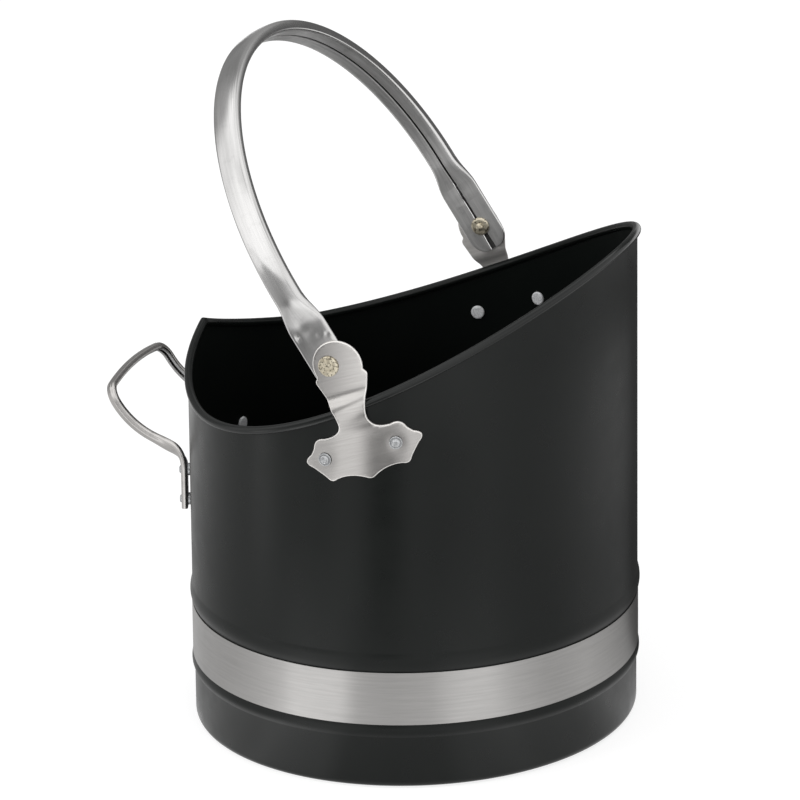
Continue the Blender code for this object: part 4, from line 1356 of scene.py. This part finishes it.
# The same for its crest, which the bail's limbs face.
CREST_LEVELS = (
    (-180, 0.30), (-165, 0.35), (-155, 1.00), (-130, 1.00), (-122, 0.60), (-112, 0.42),
    (-104, 0.38), (-95, 0.80), (-60, 1.20), (20, 1.10), (62, 1.10), (74, 0.60), (84, 0.20),
    (116, 0.20), (140, 0.22), (152, 0.28), (180, 0.35),
)

# The same for the tent's tall parts, high up, with the dark level of the zone below.
PEAK_LEVELS = (
    (-180, 0.40), (20, 1.10), (60, 1.10), (72, 0.85), (82, 0.45), (116, 0.38), (180, 0.40),
)
DARK_ZONE = 0.14

# The same for the room above the tent.
ROOM_LEVELS = (
    (-180, 1.15), (-165, 1.10), (-150, 1.35), (-130, 1.50), (-110, 1.50), (-95, 1.15),
    (-75, 1.15), (-55, 1.25), (-20, 1.25), (20, 1.15), (45, 0.95), (60, 0.75), (75, 0.50),
    (95, 0.40), (113, 0.36), (125, 0.30), (136, 0.28), (150, 0.42), (165, 0.50), (174, 0.95),
    (180, 1.15),
)

# The same for the room high above, and how bright it is overhead.
HIGH_LEVELS = (
    (-180, 1.40), (-155, 1.30), (-138, 0.80), (-126, 0.80), (-110, 1.40), (-65, 1.50),
    (-45, 0.85), (-28, 0.65), (-5, 0.80), (30, 1.00), (60, 0.80), (85, 0.45), (108, 0.38),
    (136, 0.32), (146, 0.90), (154, 1.60), (180, 1.40),
)
OVERHEAD = 1.25


def make_camera():
    level = math.cos(ELEVATION)
    back = Vector((math.sin(AZIMUTH) * level, -math.cos(AZIMUTH) * level, math.sin(ELEVATION)))
    data = bpy.data.cameras.new("camera")
    data.lens = LENS
    data.shift_x = SHIFT
    data.clip_end = CLIP_END
    made = placed("camera", data)
    place = Matrix.Translation(Vector((0, 0, AIM_HEIGHT)) + back * DISTANCE)
    turn = back.to_track_quat("Z", "Y").to_matrix().to_4x4()
    made.matrix_world = place @ turn @ Matrix.Rotation(ROLL, 4, "Z")
    bpy.context.scene.camera = made


def level_ramp(tree, vector, levels):
    """Brightness by the direction of a point round the vertical axis."""
    turn = maths(tree, "ARCTAN2", part_of(tree, vector, "Y"), part_of(tree, vector, "X"))
    ramp = node(tree, "ShaderNodeValToRGB", {"Fac": ranged(tree, turn, 0, 1, -math.pi, math.pi)})
    stops = ramp.color_ramp.elements
    for degrees, level in levels[1:-1]:
        stops.new(degrees / 360 + 0.5).color = grey(level / RAMP_TOP)
    stops[0].color = grey(levels[0][1] / RAMP_TOP)
    stops[len(stops) - 1].color = grey(levels[-1][1] / RAMP_TOP)
    return maths(tree, "MULTIPLY", ramp.outputs["Color"], RAMP_TOP)


def ray_is(tree, *kinds):
    """1 for a ray of one of these kinds, and 0 for any other."""
    path = node(tree, "ShaderNodeLightPath")
    share = path.outputs[f"Is {kinds[0]} Ray"]
    for kind in kinds[1:]:
        share = maths(tree, "MAXIMUM", share, path.outputs[f"Is {kind} Ray"])
    return share


def mixed(tree, factor, plain, other):
    return node(tree, "ShaderNodeMixShader", {0: factor, 1: plain, 2: other}).outputs[0]


def stage_mesh(name, mesh):
    made = placed(name, mesh)
    paint = bpy.data.materials.new(f"{name}_paint")
    paint.use_nodes = True
    paint.node_tree.nodes.clear()
    mesh.materials.append(paint)
    return made, paint.node_tree


def make_floor():
    """A pale floor that stays white to the camera and keeps a faint shadow."""
    mesh = bpy.data.meshes.new("studio_floor")
    half = FLOOR_SIZE / 2
    corners = [(-half, -half, 0), (half, -half, 0), (half, half, 0), (-half, half, 0)]
    mesh.from_pydata(corners, [], [(0, 1, 2, 3)])
    made, tree = stage_mesh("studio_floor", mesh)
    made.location.z = -FLOOR_DROP
    plain = node(tree, "ShaderNodeBsdfDiffuse", {"Color": grey(FLOOR_TONE)}).outputs[0]
    faint = node(tree, "ShaderNodeBsdfDiffuse", {"Color": grey(SEEN_FLOOR_TONE)}).outputs[0]
    inputs = {"Color": grey(1.0), "Strength": FLOOR_GLOW}
    glow = node(tree, "ShaderNodeEmission", inputs).outputs[0]
    seen = node(tree, "ShaderNodeAddShader", {0: faint, 1: glow}).outputs[0]
    floor = mixed(tree, ray_is(tree, "Camera", "Glossy", "Transmission"), plain, seen)
    node(tree, "ShaderNodeOutputMaterial", {"Surface": floor})


def tent_height(degrees):
    """How high the tent stands in a direction from +X towards +Y."""
    for start, end, height in TENT_SECTORS:
        if start <= degrees <= end:
            return height
    return TENT_LOW


def make_tent():
    """A low light tent round the object, with a hem on the floor. Only glossy rays see it."""
    built = bmesh.new()
    turns = round_turns(TENT_SIDES)
    rings = [[built.verts.new(wall_point(turn, TENT_HEM, 0)) for turn in turns]]
    for full in (0, 1):
        ring = []
        for turn in turns:
            height = full * tent_height(math.degrees(turn))
            point = (TENT_RADIUS * math.cos(turn), TENT_RADIUS * math.sin(turn), height)
            ring.append(built.verts.new(point))
        rings.append(ring)
    joined(built, rings)
    made, tree = stage_mesh("light_tent", as_mesh(built, "light_tent"))
    made.visible_camera = False
    made.visible_diffuse = False
    made.visible_shadow = False
    made.visible_transmission = False
    place = node(tree, "ShaderNodeTexCoord").outputs["Object"]
    height = part_of(tree, place, "Z")
    foot = level_ramp(tree, place, FOOT_LEVELS)
    side = level_ramp(tree, place, SIDE_LEVELS)
    top = level_ramp(tree, place, TOP_LEVELS)
    crest = level_ramp(tree, place, CREST_LEVELS)
    peak = level_ramp(tree, place, PEAK_LEVELS)
    dark = faded(tree, part_of(tree, place, "X"), DARK_START, crest, DARK_ZONE)
    lower = faded(tree, height, FOOT_END, foot, side)
    middle = faded(tree, height, SIDE_END, lower, faded(tree, height, TOP_END, top, crest))
    upper = faded(tree, height, DARK_END, dark, peak)
    level = faded(tree, height, CREST_END, middle, upper)
    glow = node(tree, "ShaderNodeEmission", {"Strength": level}).outputs[0]
    node(tree, "ShaderNodeOutputMaterial", {"Surface": glow})


def make_lamp(name, place, size, power):
    data = bpy.data.lights.new(name, "AREA")
    data.shape = "RECTANGLE"
    data.size, data.size_y = size
    data.energy = power
    made = placed(name, data)
    turn = (Vector(place) - LAMP_AIM).to_track_quat("Z", "Y").to_matrix().to_4x4()
    made.matrix_world = Matrix.Translation(place) @ turn
    made.visible_glossy = False


def background(tree, strength):
    inputs = {"Color": grey(1.0), "Strength": strength}
    return node(tree, "ShaderNodeBackground", inputs).outputs[0]


def make_world():
    """White to the camera, graded to glossy rays and an even grey to the rest."""
    world = bpy.data.worlds.new("studio")
    bpy.context.scene.world = world
    world.use_nodes = True
    tree = world.node_tree
    tree.nodes.clear()
    direction = node(tree, "ShaderNodeTexCoord").outputs["Generated"]
    height = part_of(tree, direction, "Z")
    room = level_ramp(tree, direction, ROOM_LEVELS)
    high = level_ramp(tree, direction, HIGH_LEVELS)
    level = faded(tree, height, HIGH_END, faded(tree, height, ROOM_END, room, high), OVERHEAD)
    lit = mixed(tree, ray_is(tree, "Glossy"), background(tree, ROOM_LIGHT), background(tree, level))
    seen = mixed(tree, ray_is(tree, "Camera", "Transmission"), lit, background(tree, 1.0))
    node(tree, "ShaderNodeOutputWorld", {"Surface": seen})


make_camera()
make_floor()
make_tent()
for lamp in LAMPS:
    make_lamp(*lamp)
make_world()

scene = bpy.context.scene
scene.view_settings.view_transform = "Standard"
